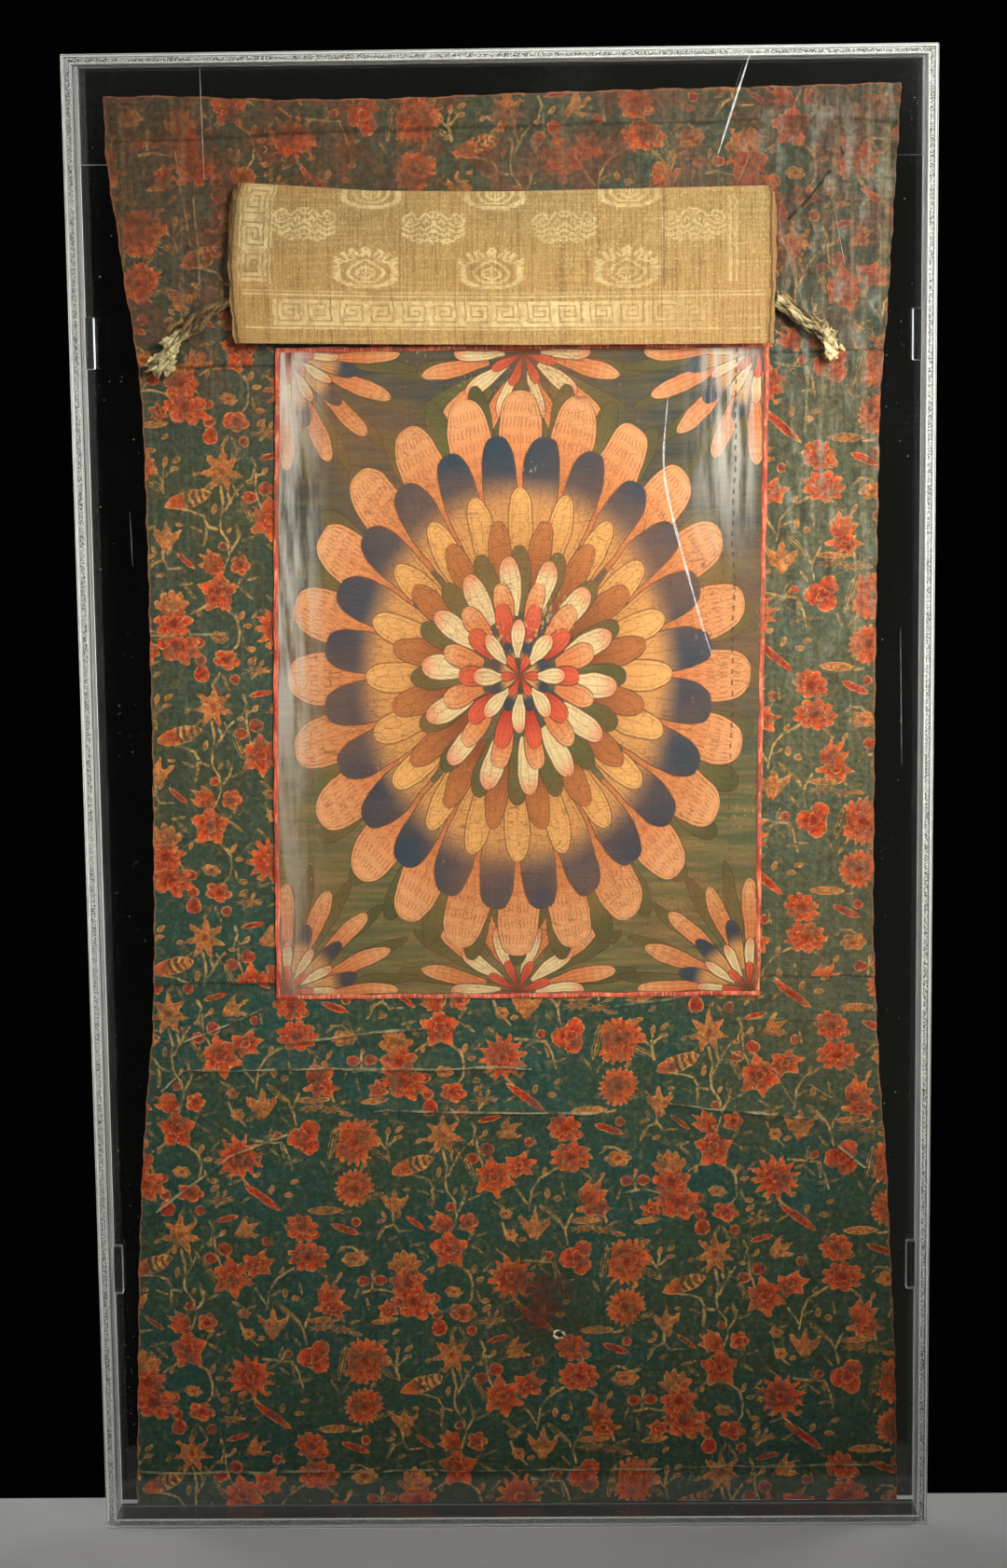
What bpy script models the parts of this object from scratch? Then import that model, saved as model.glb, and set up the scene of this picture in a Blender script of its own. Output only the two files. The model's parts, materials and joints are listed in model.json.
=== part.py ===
"""A thangka, a cloth scroll painting, that hangs in a clear acrylic display case.

The case stands on its lower edge: X runs along its width, its front faces -Y, and Z is up. The origin is at the
middle of its underside. The cloth hangs from a clear strip inside the back panel. From back to front there are
the printed mount in four panels, the painting with its narrow edging, and the folded veil with its two ties.
"""

import math
from collections import namedtuple

import bmesh
import bpy
import numpy as np

# The case
CASE_WIDTH = 0.556
CASE_HEIGHT = 0.980
CASE_DEPTH = 0.040
PANEL_THICKNESS = 0.005
WALL_THICKNESS = 0.006
EDGE_BEVEL = 0.0005
GAP = 0.0003  # between pieces that touch

# What is fitted inside the case
STRIP_THICKNESS = 0.002
STRIP_BOTTOM = 0.912
SPACER_HEIGHT = 0.034
SPACER_SIZE = 0.006
SPACER_ROUNDING = 0.0012
SPACER_CENTRES = {"upper": 0.798, "lower": 0.174}

# The cloth
MOUNT_THICKNESS = 0.0012
HEM_THICKNESS = 0.0024
HEM_RAMP = 0.006
PAINTING_THICKNESS = 0.001
EDGING_WIDTH = 0.003
LAYER_GAP = 0.0004
SEAM_GAP = 0.0003
MOUNT_OVERLAP = 0.010  # how far the side panels reach behind the painting
MOUNT_FOOT = 0.0082
TOP_HEM_Z = 0.930
BOTTOM_HEM_Z = 0.030

# The tables' named columns
Edges = namedtuple("Edges", "height left right")
Rim = namedtuple("Rim", "across height")
Crease = namedtuple("Crease", "start_x start_z end_x end_z ridge")
Turn = namedtuple("Turn", "height_inset left_inset right_inset")
Bend = namedtuple("Bend", "across height radius")

# The mount's side edges: it is drawn in at the waist
MOUNT_EDGES = (
    Edges(0.958, -0.2550, 0.2572),
    Edges(0.920, -0.2550, 0.2558),
    Edges(0.895, -0.2525, 0.2541),
    Edges(0.865, -0.2480, 0.2525),
    Edges(0.835, -0.2450, 0.2509),
    Edges(0.805, -0.2400, 0.2492),
    Edges(0.770, -0.2365, 0.2462),
    Edges(0.740, -0.2352, 0.2446),
    Edges(0.650, -0.2346, 0.2436),
    Edges(0.530, -0.2352, 0.2424),
    Edges(0.405, -0.2376, 0.2423),
    Edges(0.340, -0.2404, 0.2450),
    Edges(0.302, -0.2450, 0.2471),
    Edges(0.245, -0.2503, 0.2518),
    Edges(0.180, -0.2545, 0.2550),
    Edges(0.110, -0.2568, 0.2586),
    Edges(0.008, -0.2606, 0.2606),
)

# The mount's upper edge sags between its corners
MOUNT_RIM = (
    Rim(-0.255, 0.9550),
    Rim(-0.214, 0.9552),
    Rim(-0.142, 0.9518),
    Rim(-0.070, 0.9516),
    Rim(0.002, 0.9537),
    Rim(0.098, 0.9554),
    Rim(0.182, 0.9563),
    Rim(0.257, 0.9578),
)

# Where the four panels meet, from the left edge to the right one
UPPER_SEAM = (Rim(-0.238, 0.7812), Rim(0.248, 0.7886))
LOWER_SEAM = (Rim(-0.239, 0.3717), Rim(0.243, 0.3737))

# The painting with its edging, outer edge to outer edge
PAINTING_EDGES = (
    Edges(0.7938, -0.1476, 0.1729),
    Edges(0.6550, -0.1519, 0.1706),
    Edges(0.5000, -0.1554, 0.1682),
    Edges(0.3612, -0.1567, 0.1670),
)

# Storage creases that stand up as soft ridges
CREASES = (
    Crease(-0.2283, 0.3281, -0.1661, 0.3552, 0.0010),
    Crease(-0.1494, 0.3307, -0.0551, 0.3415, 0.0010),
    Crease(-0.2352, 0.2985, -0.2209, 0.3133, 0.0016),
    Crease(-0.2209, 0.3133, 0.0136, 0.3133, 0.0016),
    Crease(-0.0918, 0.2841, 0.0572, 0.2814, 0.0012),
    Crease(-0.2407, 0.2142, -0.1922, 0.2529, 0.0018),
    Crease(-0.1922, 0.2529, -0.1520, 0.2675, 0.0014),
    Crease(0.1060, 0.2870, 0.2054, 0.2764, 0.0014),
    Crease(0.2189, 0.2575, 0.2381, 0.2431, 0.0014),
)
CREASE_HALF_WIDTH = 0.006

# The veil, folded up above the painting
VEIL_THICKNESS = 0.001
VEIL_PITCH = 0.0022  # from one layer's middle to the next one's
VEIL_LAYERS = 5
VEIL_EDGES = (
    Edges(0.8995, -0.1700, 0.1745),
    Edges(0.8880, -0.1745, 0.1775),
    Edges(0.8470, -0.1782, 0.1779),
    Edges(0.8140, -0.1763, 0.1772),
    Edges(0.7930, -0.1735, 0.1760),
)
VEIL_TOP = (
    Rim(-0.170, 0.8995),
    Rim(-0.142, 0.8974),
    Rim(-0.082, 0.8931),
    Rim(0.000, 0.8915),
    Rim(0.176, 0.8934),
)
VEIL_HEM = (
    Rim(-0.174, 0.7972),
    Rim(-0.084, 0.7956),
    Rim(0.013, 0.7939),
    Rim(0.177, 0.7931),
)
# One row for each end of a layer, from the sewn edge at the back to the hem in front
VEIL_TURNS = (
    Turn(0.0080, 0.0045, 0.0040),
    Turn(0.0070, 0.0030, 0.0012),
    Turn(0.0050, 0.0000, 0.0000),
    Turn(0.0055, 0.0016, 0.0030),
    Turn(0.0011, 0.0034, 0.0032),
    Turn(0.0000, 0.0000, 0.0010),
)
VEIL_COLUMNS = 15
VEIL_STEPS = 4  # faces along each layer
TURN_STEPS = 4  # faces round each fold

# The ties: each route is its middle line
TIE_CLEARANCE = 0.0062  # from the mount's face to the tie's middle
TIE_SIDES = 12
TIE_LOBE = 0.20
TIE_TURN_LENGTH = 0.030
TIE_POINT_SPACING = 0.0026
TIE_ROUTES = {
    "tie_left": (
        Bend(-0.1802, 0.8222, 0.0040),
        Bend(-0.1870, 0.8188, 0.0046),
        Bend(-0.1942, 0.8146, 0.0048),
        Bend(-0.2010, 0.8092, 0.0046),
        Bend(-0.2068, 0.8036, 0.0048),
        Bend(-0.2122, 0.7972, 0.0048),
        Bend(-0.2170, 0.7908, 0.0044),
        Bend(-0.2222, 0.7848, 0.0036),
        Bend(-0.2272, 0.7796, 0.0024),
    ),
    "tie_right": (
        Bend(0.1812, 0.8196, 0.0040),
        Bend(0.1868, 0.8152, 0.0045),
        Bend(0.1932, 0.8104, 0.0046),
        Bend(0.1994, 0.8056, 0.0047),
        Bend(0.2056, 0.8004, 0.0047),
        Bend(0.2110, 0.7952, 0.0042),
        Bend(0.2146, 0.7892, 0.0034),
        Bend(0.2158, 0.7826, 0.0026),
    ),
}

# Worked out from the sizes above
FRONT_INNER_Y = PANEL_THICKNESS - CASE_DEPTH / 2
BACK_INNER_Y = CASE_DEPTH / 2 - PANEL_THICKNESS
SIDE_INNER_X = CASE_WIDTH / 2 - WALL_THICKNESS
CLOTH_BACK_Y = BACK_INNER_Y - GAP - STRIP_THICKNESS - GAP
MOUNT_FACE_Y = CLOTH_BACK_Y - MOUNT_THICKNESS
PAINTING_BACK_Y = MOUNT_FACE_Y - LAYER_GAP
VEIL_BACK_Y = MOUNT_FACE_Y - LAYER_GAP - VEIL_THICKNESS / 2

ACRYLIC = ((0.93, 0.95, 0.94), 0.08)
PRINTED_COTTON = ((0.11, 0.13, 0.09), 0.85)
PAINTED_CLOTH = ((0.45, 0.29, 0.13), 0.70)
RED_SILK = ((0.52, 0.07, 0.04), 0.65)
GOLD_DAMASK = ((0.47, 0.33, 0.15), 0.75)
TIE_CLOTH = ((0.38, 0.32, 0.21), 0.90)


def clear_scene():
    for old in list(bpy.data.objects):
        bpy.data.objects.remove(old, do_unlink=True)


def give_material(piece, look):
    colour, roughness = look
    material = bpy.data.materials.new(piece.name)
    material.use_nodes = True
    shader = material.node_tree.nodes["Principled BSDF"]
    shader.inputs["Base Color"].default_value = (*colour, 1.0)
    shader.inputs["Roughness"].default_value = roughness
    shader.inputs["Metallic"].default_value = 0.0
    piece.data.materials.append(material)


def add_piece(name, data, collection, look):
    piece = bpy.data.objects.new(name, data)
    collection.objects.link(piece)
    give_material(piece, look)
    return piece


# The case


def box_piece(name, low, high, collection, bevel=EDGE_BEVEL, segments=1):
    """A clear block between two corners, with its edges eased."""
    mesh = bpy.data.meshes.new(name)
    form = bmesh.new()
    bmesh.ops.create_cube(form, size=1.0)
    size = [b - a for a, b in zip(low, high)]
    bmesh.ops.scale(form, vec=size, verts=form.verts)
    form.to_mesh(mesh)
    form.free()
    piece = add_piece(name, mesh, collection, ACRYLIC)
    piece.location = [(a + b) / 2 for a, b in zip(low, high)]
    easing = piece.modifiers.new("eased edges", "BEVEL")
    easing.width = bevel
    easing.segments = segments
    return piece


def build_case(collection):
    half_width = CASE_WIDTH / 2
    half_depth = CASE_DEPTH / 2
    wall_front = FRONT_INNER_Y + GAP
    wall_back = BACK_INNER_Y - GAP
    box_piece("case_front", (-half_width, -half_depth, 0), (half_width, FRONT_INNER_Y, CASE_HEIGHT), collection)
    box_piece("case_back", (-half_width, BACK_INNER_Y, 0), (half_width, half_depth, CASE_HEIGHT), collection)
    for name, side in (("case_left", -1), ("case_right", 1)):
        outer, inner = side * half_width, side * SIDE_INNER_X
        low = (min(outer, inner), wall_front, 0)
        high = (max(outer, inner), wall_back, CASE_HEIGHT)
        box_piece(name, low, high, collection)
    reach = SIDE_INNER_X - GAP
    box_piece("case_bottom", (-reach, wall_front, 0), (reach, wall_back, WALL_THICKNESS), collection)
    lid = CASE_HEIGHT - WALL_THICKNESS
    box_piece("case_top", (-reach, wall_front, lid), (reach, wall_back, CASE_HEIGHT), collection)


def build_fittings(collection):
    """The strip that the cloth hangs from, and the blocks that hold the back panel off the side walls."""
    reach = SIDE_INNER_X - GAP
    back = BACK_INNER_Y - GAP
    top = CASE_HEIGHT - WALL_THICKNESS - GAP
    box_piece("hanging_strip", (-reach, back - STRIP_THICKNESS, STRIP_BOTTOM), (reach, back, top), collection)
    for side_name, side in (("left", -1), ("right", 1)):
        near, far = side * reach, side * (reach - SPACER_SIZE)
        for level, centre in SPACER_CENTRES.items():
            low = (min(near, far), back - SPACER_SIZE, centre - SPACER_HEIGHT / 2)
            high = (max(near, far), back, centre + SPACER_HEIGHT / 2)
            box_piece(f"spacer_{side_name}_{level}", low, high, collection, SPACER_ROUNDING, 2)


# How the cloth hangs


def blend(a, b, t):
    return a + (b - a) * t


def read_table(value, rows, column):
    """One named column of a table, at a value of its first column, which may run either way."""
    ordered = sorted(rows)
    return float(np.interp(value, [row[0] for row in ordered], [getattr(row, column) for row in ordered]))


def seam_height(x, seam):
    start, end = seam
    return blend(start.height, end.height, (x - start.across) / (end.across - start.across))


def distance_to_crease(x, z, crease):
    run_x = crease.end_x - crease.start_x
    run_z = crease.end_z - crease.start_z
    along = ((x - crease.start_x) * run_x + (z - crease.start_z) * run_z) / (run_x**2 + run_z**2)
    along = min(max(along, 0.0), 1.0)
    return math.hypot(x - crease.start_x - along * run_x, z - crease.start_z - along * run_z)


def fall(x, z):
    """How far the cloth stands forward of its hanging plane: nothing on the strip, then gentle buckles."""
    freedom = min(max((0.93 - z) / 0.22, 0.0), 1.0)
    freedom = freedom * freedom * (3 - 2 * freedom)
    upright = 0.0009 * (1 + math.sin(math.tau * (x / 0.30 + 0.12) + 1.3 * math.sin(7 * z)))
    level = 0.0007 * (1 + math.sin(math.tau * z / 0.26 + 3 * x + 0.6))
    ridge = 0.0
    for crease in CREASES:
        share = distance_to_crease(x, z, crease) / CREASE_HALF_WIDTH
        ridge = max(ridge, crease.ridge * math.exp(-share * share))
    return freedom * (upright + level) + ridge


def hung_sheet(name, columns, rows, place, thickness, collection, look, fullness=None):
    """A sheet whose back is place(u, v), with the cloth's thickness in front of it."""
    mesh = bpy.data.meshes.new(name)
    form = bmesh.new()
    bmesh.ops.create_grid(form, x_segments=columns, y_segments=rows, size=0.5)
    for corner in form.verts:
        corner.co = place(corner.co.x + 0.5, corner.co.y + 0.5)
    form.to_mesh(mesh)
    form.free()
    piece = add_piece(name, mesh, collection, look)
    cloth = piece.modifiers.new("thickness", "SOLIDIFY")
    cloth.thickness = thickness
    cloth.offset = 1.0
    if fullness:
        group = piece.vertex_groups.new(name="fullness")
        for corner in mesh.vertices:
            group.add([corner.index], fullness(corner.co.x, corner.co.z), "REPLACE")
        cloth.vertex_group = group.name
    return piece


def hem_fullness(x, z):
    """The share of the hem's thickness: 1 in the pocket hems, less where the cloth is single."""
    single = MOUNT_THICKNESS / HEM_THICKNESS
    into_top = (z - TOP_HEM_Z) / HEM_RAMP
    into_bottom = (BOTTOM_HEM_Z - z) / HEM_RAMP
    share = min(max(max(into_top, into_bottom), 0.0), 1.0)
    return blend(single, 1.0, share)


def on_cloth(x, z, back_y):
    return (x, back_y - fall(x, z), z)


def painting_edge(z, side, inset):
    x = read_table(z, PAINTING_EDGES, side)
    return x + inset if side == "left" else x - inset


def build_mount(collection):
    def top_panel(u, v):
        share = float(np.interp(v, (0.0, 0.80, 0.86, 1.0), (0.0, 0.845, 0.88, 1.0)))
        rough_z = blend(UPPER_SEAM[0].height, MOUNT_RIM[0].height, share)
        x = blend(read_table(rough_z, MOUNT_EDGES, "left"), read_table(rough_z, MOUNT_EDGES, "right"), u)
        foot = seam_height(x, UPPER_SEAM) + SEAM_GAP / 2
        z = blend(foot, read_table(x, MOUNT_RIM, "height"), share)
        return on_cloth(x, z, CLOTH_BACK_Y)

    def bottom_panel(u, v):
        share = float(np.interp(v, (0.0, 0.07, 0.10, 0.34, 0.92, 1.0), (0.0, 0.058, 0.085, 0.55, 0.92, 1.0)))
        rough_z = blend(MOUNT_FOOT, LOWER_SEAM[0].height, share)
        x = blend(read_table(rough_z, MOUNT_EDGES, "left"), read_table(rough_z, MOUNT_EDGES, "right"), u)
        z = blend(MOUNT_FOOT, seam_height(x, LOWER_SEAM) - SEAM_GAP / 2, share)
        return on_cloth(x, z, CLOTH_BACK_Y)

    def side_panel(side):
        def panel(u, v):
            z = blend(LOWER_SEAM[0].height, UPPER_SEAM[0].height, v)
            outer = read_table(z, MOUNT_EDGES, side)
            inner = painting_edge(z, side, MOUNT_OVERLAP)
            left, right = sorted((outer, inner))
            x = blend(left, right, u)
            low = seam_height(x, LOWER_SEAM) + SEAM_GAP / 2
            high = seam_height(x, UPPER_SEAM) - SEAM_GAP / 2
            return on_cloth(x, blend(low, high, v), CLOTH_BACK_Y)

        return panel

    hung_sheet("mount_top", 30, 14, top_panel, HEM_THICKNESS, collection, PRINTED_COTTON, hem_fullness)
    hung_sheet("mount_bottom", 30, 28, bottom_panel, HEM_THICKNESS, collection, PRINTED_COTTON, hem_fullness)
    for side in ("left", "right"):
        panel = side_panel(side)
        hung_sheet(f"mount_{side}", 6, 24, panel, MOUNT_THICKNESS, collection, PRINTED_COTTON)


def build_painting(collection):
    """The painted panel and, round it in the same layer, its four strips of edging."""
    top, bottom = PAINTING_EDGES[0].height, PAINTING_EDGES[-1].height
    canvas_inset = EDGING_WIDTH + SEAM_GAP

    def patch(u, v, low, high, left_inset, right_inset):
        z = blend(low, high, v)
        left = painting_edge(z, "left", left_inset)
        right = painting_edge(z, "right", right_inset)
        return on_cloth(blend(left, right, u), z, PAINTING_BACK_Y)

    def canvas(u, v):
        return patch(u, v, bottom + canvas_inset, top - canvas_inset, canvas_inset, canvas_inset)

    def upper_strip(u, v):
        return patch(u, v, top - EDGING_WIDTH, top, 0, 0)

    def lower_strip(u, v):
        return patch(u, v, bottom, bottom + EDGING_WIDTH, 0, 0)

    def side_strip(side):
        def strip(u, v):
            z = blend(bottom + canvas_inset, top - canvas_inset, v)
            outer = painting_edge(z, side, 0)
            inner = painting_edge(z, side, EDGING_WIDTH)
            left, right = sorted((outer, inner))
            return on_cloth(blend(left, right, u), z, PAINTING_BACK_Y)

        return strip

    hung_sheet("painting", 18, 24, canvas, PAINTING_THICKNESS, collection, PAINTED_CLOTH)
    hung_sheet("edging_top", 18, 1, upper_strip, PAINTING_THICKNESS, collection, RED_SILK)
    hung_sheet("edging_bottom", 18, 1, lower_strip, PAINTING_THICKNESS, collection, RED_SILK)
    for side in ("left", "right"):
        hung_sheet(f"edging_{side}", 1, 24, side_strip(side), PAINTING_THICKNESS, collection, RED_SILK)


# The veil


def veil_route():
    """The folded cloth from its sewn edge to its hem, as (layer, way travelled, height, forward, rise) rows.

    Even layers run down and odd ones run up. A fold's points swing out past the layers' ends on a half circle.
    """
    route = []
    for layer in range(VEIL_LAYERS):
        goes_down = layer % 2 == 0
        for step in range(VEIL_STEPS + 1):
            share = step / VEIL_STEPS
            height = 1 - share if goes_down else share
            route.append((layer, layer + share, height, layer * VEIL_PITCH, 0.0))
        if layer == VEIL_LAYERS - 1:
            break
        radius = VEIL_PITCH / 2
        for step in range(1, TURN_STEPS):
            angle = math.pi * step / TURN_STEPS
            forward = layer * VEIL_PITCH + radius * (1 - math.cos(angle))
            rise = radius * math.sin(angle) * (-1 if goes_down else 1)
            route.append((layer, layer + 1, 0.0 if goes_down else 1.0, forward, rise))
    return route


def turn_inset(travelled, column):
    """How far the folded cloth's edge is drawn in, read evenly along its way."""
    return float(np.interp(travelled, range(len(VEIL_TURNS)), [getattr(turn, column) for turn in VEIL_TURNS]))


def height_inset(travelled, at_bottom):
    """The inset of the layer's lower or upper end. Odd turns are at the bottom."""
    layer = min(int(travelled), VEIL_LAYERS - 1)
    turn = layer if layer % 2 == at_bottom else layer + 1
    return VEIL_TURNS[turn].height_inset


def veil_place(u, row):
    layer, travelled, height, forward, rise = row
    rough_z = blend(VEIL_HEM[-1].height, VEIL_TOP[-1].height, height)
    left = read_table(rough_z, VEIL_EDGES, "left") + turn_inset(travelled, "left_inset")
    right = read_table(rough_z, VEIL_EDGES, "right") - turn_inset(travelled, "right_inset")
    x = blend(left, right, u)
    low = read_table(x, VEIL_HEM, "height") + height_inset(layer, at_bottom=True)
    high = read_table(x, VEIL_TOP, "height") - height_inset(layer, at_bottom=False)
    z = blend(low, high, height) + rise
    return (x, VEIL_BACK_Y - fall(x, z) - forward, z)


def build_veil(collection):
    """One cloth, folded back and forth, with the layers a little apart."""
    route = veil_route()
    mesh = bpy.data.meshes.new("veil")
    form = bmesh.new()
    bmesh.ops.create_grid(form, x_segments=VEIL_COLUMNS, y_segments=len(route) - 1, size=0.5)
    for corner in form.verts:
        row = route[round((corner.co.y + 0.5) * (len(route) - 1))]
        corner.co = veil_place(corner.co.x + 0.5, row)
    form.to_mesh(mesh)
    form.free()
    veil = add_piece("veil", mesh, collection, GOLD_DAMASK)
    cloth = veil.modifiers.new("thickness", "SOLIDIFY")
    cloth.thickness = VEIL_THICKNESS
    cloth.offset = 0.0


# The ties


def smooth_route(points, spacing):
    """Points at an even spacing on a smooth curve through the route's own points."""
    rows = np.array(points)
    ahead = 2 * rows[0] - rows[1]
    behind = 2 * rows[-1] - rows[-2]
    padded = np.vstack([ahead, rows, behind])
    fine = []
    for start in range(1, len(rows)):
        before, here, there, after = padded[start - 1 : start + 3]
        for t in np.linspace(0, 1, 20, endpoint=False):
            bend = 2 * before - 5 * here + 4 * there - after
            swing = 3 * here - before - 3 * there + after
            fine.append(here + 0.5 * t * ((there - before) + t * (bend + t * swing)))
    fine.append(rows[-1])
    fine = np.array(fine)
    steps = np.linalg.norm(np.diff(fine[:, :2], axis=0), axis=1)
    travelled = np.concatenate([[0], np.cumsum(steps)])
    even = np.linspace(0, travelled[-1], max(2, round(travelled[-1] / spacing) + 1))
    return [[float(np.interp(t, travelled, fine[:, k])) for k in range(3)] for t in even]


def strand_profile(collection):
    """The ties' section: two strands laid together, so a round with two lobes, one unit in radius."""
    outline = bpy.data.curves.new("two_strands", "CURVE")
    outline.dimensions = "2D"
    spline = outline.splines.new("POLY")
    spline.points.add(TIE_SIDES - 1)
    for index, point in enumerate(spline.points):
        angle = -math.tau * index / TIE_SIDES
        radius = 1 + TIE_LOBE * math.cos(2 * angle)
        point.co = (radius * math.cos(angle), radius * math.sin(angle), 0, 1)
    spline.use_cyclic_u = True
    profile = bpy.data.objects.new("two_strands", outline)
    profile.hide_render = True
    profile.display_type = "WIRE"
    collection.objects.link(profile)
    return profile


def build_tie(name, route, profile, collection):
    """A short twisted tie. Its section turns as it goes, which lays the two strands round each other."""
    points = smooth_route(route, TIE_POINT_SPACING)
    line = bpy.data.curves.new(name, "CURVE")
    line.dimensions = "3D"
    line.bevel_mode = "OBJECT"
    line.bevel_object = profile
    line.use_fill_caps = True
    spline = line.splines.new("POLY")
    spline.points.add(len(points) - 1)
    for index, (x, z, radius) in enumerate(points):
        point = spline.points[index]
        point.co = (x, MOUNT_FACE_Y - fall(x, z) - TIE_CLEARANCE, z, 1)
        point.radius = radius
        point.tilt = math.tau * index * TIE_POINT_SPACING / TIE_TURN_LENGTH
    return add_piece(name, line, collection, TIE_CLOTH)


def main():
    clear_scene()
    parts = bpy.data.collections.new("thangka in its case")
    guides = bpy.data.collections.new("guides")
    bpy.context.scene.collection.children.link(parts)
    bpy.context.scene.collection.children.link(guides)
    build_case(parts)
    build_fittings(parts)
    build_mount(parts)
    build_painting(parts)
    build_veil(parts)
    profile = strand_profile(guides)
    for name, route in TIE_ROUTES.items():
        build_tie(name, route, profile, parts)


main()
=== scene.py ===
# %% [markdown]
# # A scroll painting in its clear case
#
# A thangka is a painting sewn into a mount of patterned cloth. This one hangs in a shallow case of clear
# acrylic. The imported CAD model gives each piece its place, and this lesson dresses it: thin sheets with
# print, weave and folds take the place of the plain solids. The case keeps its solids, with a clear finish.

import json
import math
import random
from collections import namedtuple

import bpy
import numpy as np
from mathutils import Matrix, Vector

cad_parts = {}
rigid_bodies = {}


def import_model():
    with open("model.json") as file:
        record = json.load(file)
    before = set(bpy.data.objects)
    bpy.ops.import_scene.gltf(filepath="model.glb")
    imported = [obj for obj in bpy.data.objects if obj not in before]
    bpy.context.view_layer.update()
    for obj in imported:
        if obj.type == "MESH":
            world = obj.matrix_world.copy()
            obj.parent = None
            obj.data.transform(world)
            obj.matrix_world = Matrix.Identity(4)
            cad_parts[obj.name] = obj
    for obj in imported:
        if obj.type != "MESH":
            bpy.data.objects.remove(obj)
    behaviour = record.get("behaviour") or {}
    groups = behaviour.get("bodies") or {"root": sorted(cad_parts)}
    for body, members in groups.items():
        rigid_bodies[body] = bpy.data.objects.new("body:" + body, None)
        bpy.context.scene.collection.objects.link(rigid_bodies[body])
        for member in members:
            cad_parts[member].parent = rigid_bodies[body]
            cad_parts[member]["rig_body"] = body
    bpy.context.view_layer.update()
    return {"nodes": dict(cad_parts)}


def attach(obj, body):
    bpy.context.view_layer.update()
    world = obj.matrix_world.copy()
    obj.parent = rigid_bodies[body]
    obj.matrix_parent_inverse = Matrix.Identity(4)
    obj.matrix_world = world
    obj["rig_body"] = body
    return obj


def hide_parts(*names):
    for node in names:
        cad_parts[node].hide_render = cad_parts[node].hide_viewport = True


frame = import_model()

# %% [markdown]
# ## The camera
#
# The camera's place was solved from the four outer corners of the case, so a straight lens gives the
# photograph's frame.

# %% Camera
PHOTO_HEIGHT = 1682
FOCAL_PIXELS = 3400
SENSOR = 36
CAMERA_PLACE = (0.0332, -2.0699, 0.8171)
CAMERA_DEGREES = (81.475, 0.677, 0.894)


def add_camera():
    turn = [math.radians(angle) for angle in CAMERA_DEGREES]
    bpy.ops.object.camera_add(location=CAMERA_PLACE, rotation=turn)
    camera = bpy.context.object
    camera.data.sensor_fit = "AUTO"
    camera.data.sensor_width = SENSOR
    camera.data.lens = SENSOR * FOCAL_PIXELS / PHOTO_HEIGHT
    bpy.context.scene.camera = camera
    return camera


camera = add_camera()
print(f"lens {camera.data.lens:.1f} mm")

# %% [markdown]
# ## Numbers that the CAD model and this scene share
#
# The same tables and the same depth function shape the solids and these sheets, so every sheet lies just
# where its solid is. The values are in metres.

# %% The cloth's outline tables
Edges = namedtuple("Edges", "height left right")
Rim = namedtuple("Rim", "across height")
Crease = namedtuple("Crease", "start_x start_z end_x end_z ridge")
Turn = namedtuple("Turn", "height_inset left_inset right_inset")
Bend = namedtuple("Bend", "across height radius")


def rows_of(kind, table):
    return tuple(kind(*row) for row in table)


CLOTH_BACK_Y = 0.0124
MOUNT_THICKNESS = 0.0012
HEM_THICKNESS = 0.0024
HEM_RAMP = 0.006
PAINTING_THICKNESS = 0.001
EDGING_WIDTH = 0.003
LAYER_GAP = 0.0004
MOUNT_OVERLAP = 0.01
MOUNT_FOOT = 0.0082
TOP_HEM_Z = 0.93
BOTTOM_HEM_Z = 0.03
MOUNT_FACE_Y = CLOTH_BACK_Y - MOUNT_THICKNESS
PAINTING_BACK_Y = MOUNT_FACE_Y - LAYER_GAP

MOUNT_EDGES = rows_of(Edges, (
    (0.958, -0.255, 0.2572), (0.92, -0.255, 0.2558), (0.895, -0.2525, 0.2541),
    (0.865, -0.248, 0.2525), (0.835, -0.245, 0.2509), (0.805, -0.24, 0.2492),
    (0.77, -0.2365, 0.2462), (0.74, -0.2352, 0.2446), (0.65, -0.2346, 0.2436),
    (0.53, -0.2352, 0.2424), (0.405, -0.2376, 0.2423), (0.34, -0.2404, 0.245),
    (0.302, -0.245, 0.2471), (0.245, -0.2503, 0.2518), (0.18, -0.2545, 0.255),
    (0.11, -0.2568, 0.2586), (0.008, -0.2606, 0.2606),
))
MOUNT_RIM = rows_of(Rim, (
    (-0.255, 0.955), (-0.214, 0.9552), (-0.142, 0.9518), (-0.07, 0.9516), (0.002, 0.9537),
    (0.098, 0.9554), (0.182, 0.9563), (0.257, 0.9578),
))
UPPER_SEAM = (Rim(-0.238, 0.7812), Rim(0.248, 0.7886))
LOWER_SEAM = (Rim(-0.239, 0.3717), Rim(0.243, 0.3737))
PAINTING_EDGES = rows_of(Edges, (
    (0.7938, -0.1476, 0.1729), (0.655, -0.1519, 0.1706), (0.5, -0.1554, 0.1682),
    (0.3612, -0.1567, 0.167),
))
CREASES = rows_of(Crease, (
    (-0.2283, 0.3281, -0.1661, 0.3552, 0.001), (-0.1494, 0.3307, -0.0551, 0.3415, 0.001),
    (-0.2352, 0.2985, -0.2209, 0.3133, 0.0016), (-0.2209, 0.3133, 0.0136, 0.3133, 0.0016),
    (-0.0918, 0.2841, 0.0572, 0.2814, 0.0012), (-0.2407, 0.2142, -0.1922, 0.2529, 0.0018),
    (-0.1922, 0.2529, -0.152, 0.2675, 0.0014), (0.106, 0.287, 0.2054, 0.2764, 0.0014),
    (0.2189, 0.2575, 0.2381, 0.2431, 0.0014),
))
CREASE_HALF_WIDTH = 0.006
FREE_REACH = 0.22
UPRIGHT_WAVE = 0.0009
LEVEL_WAVE = 0.0007


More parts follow.
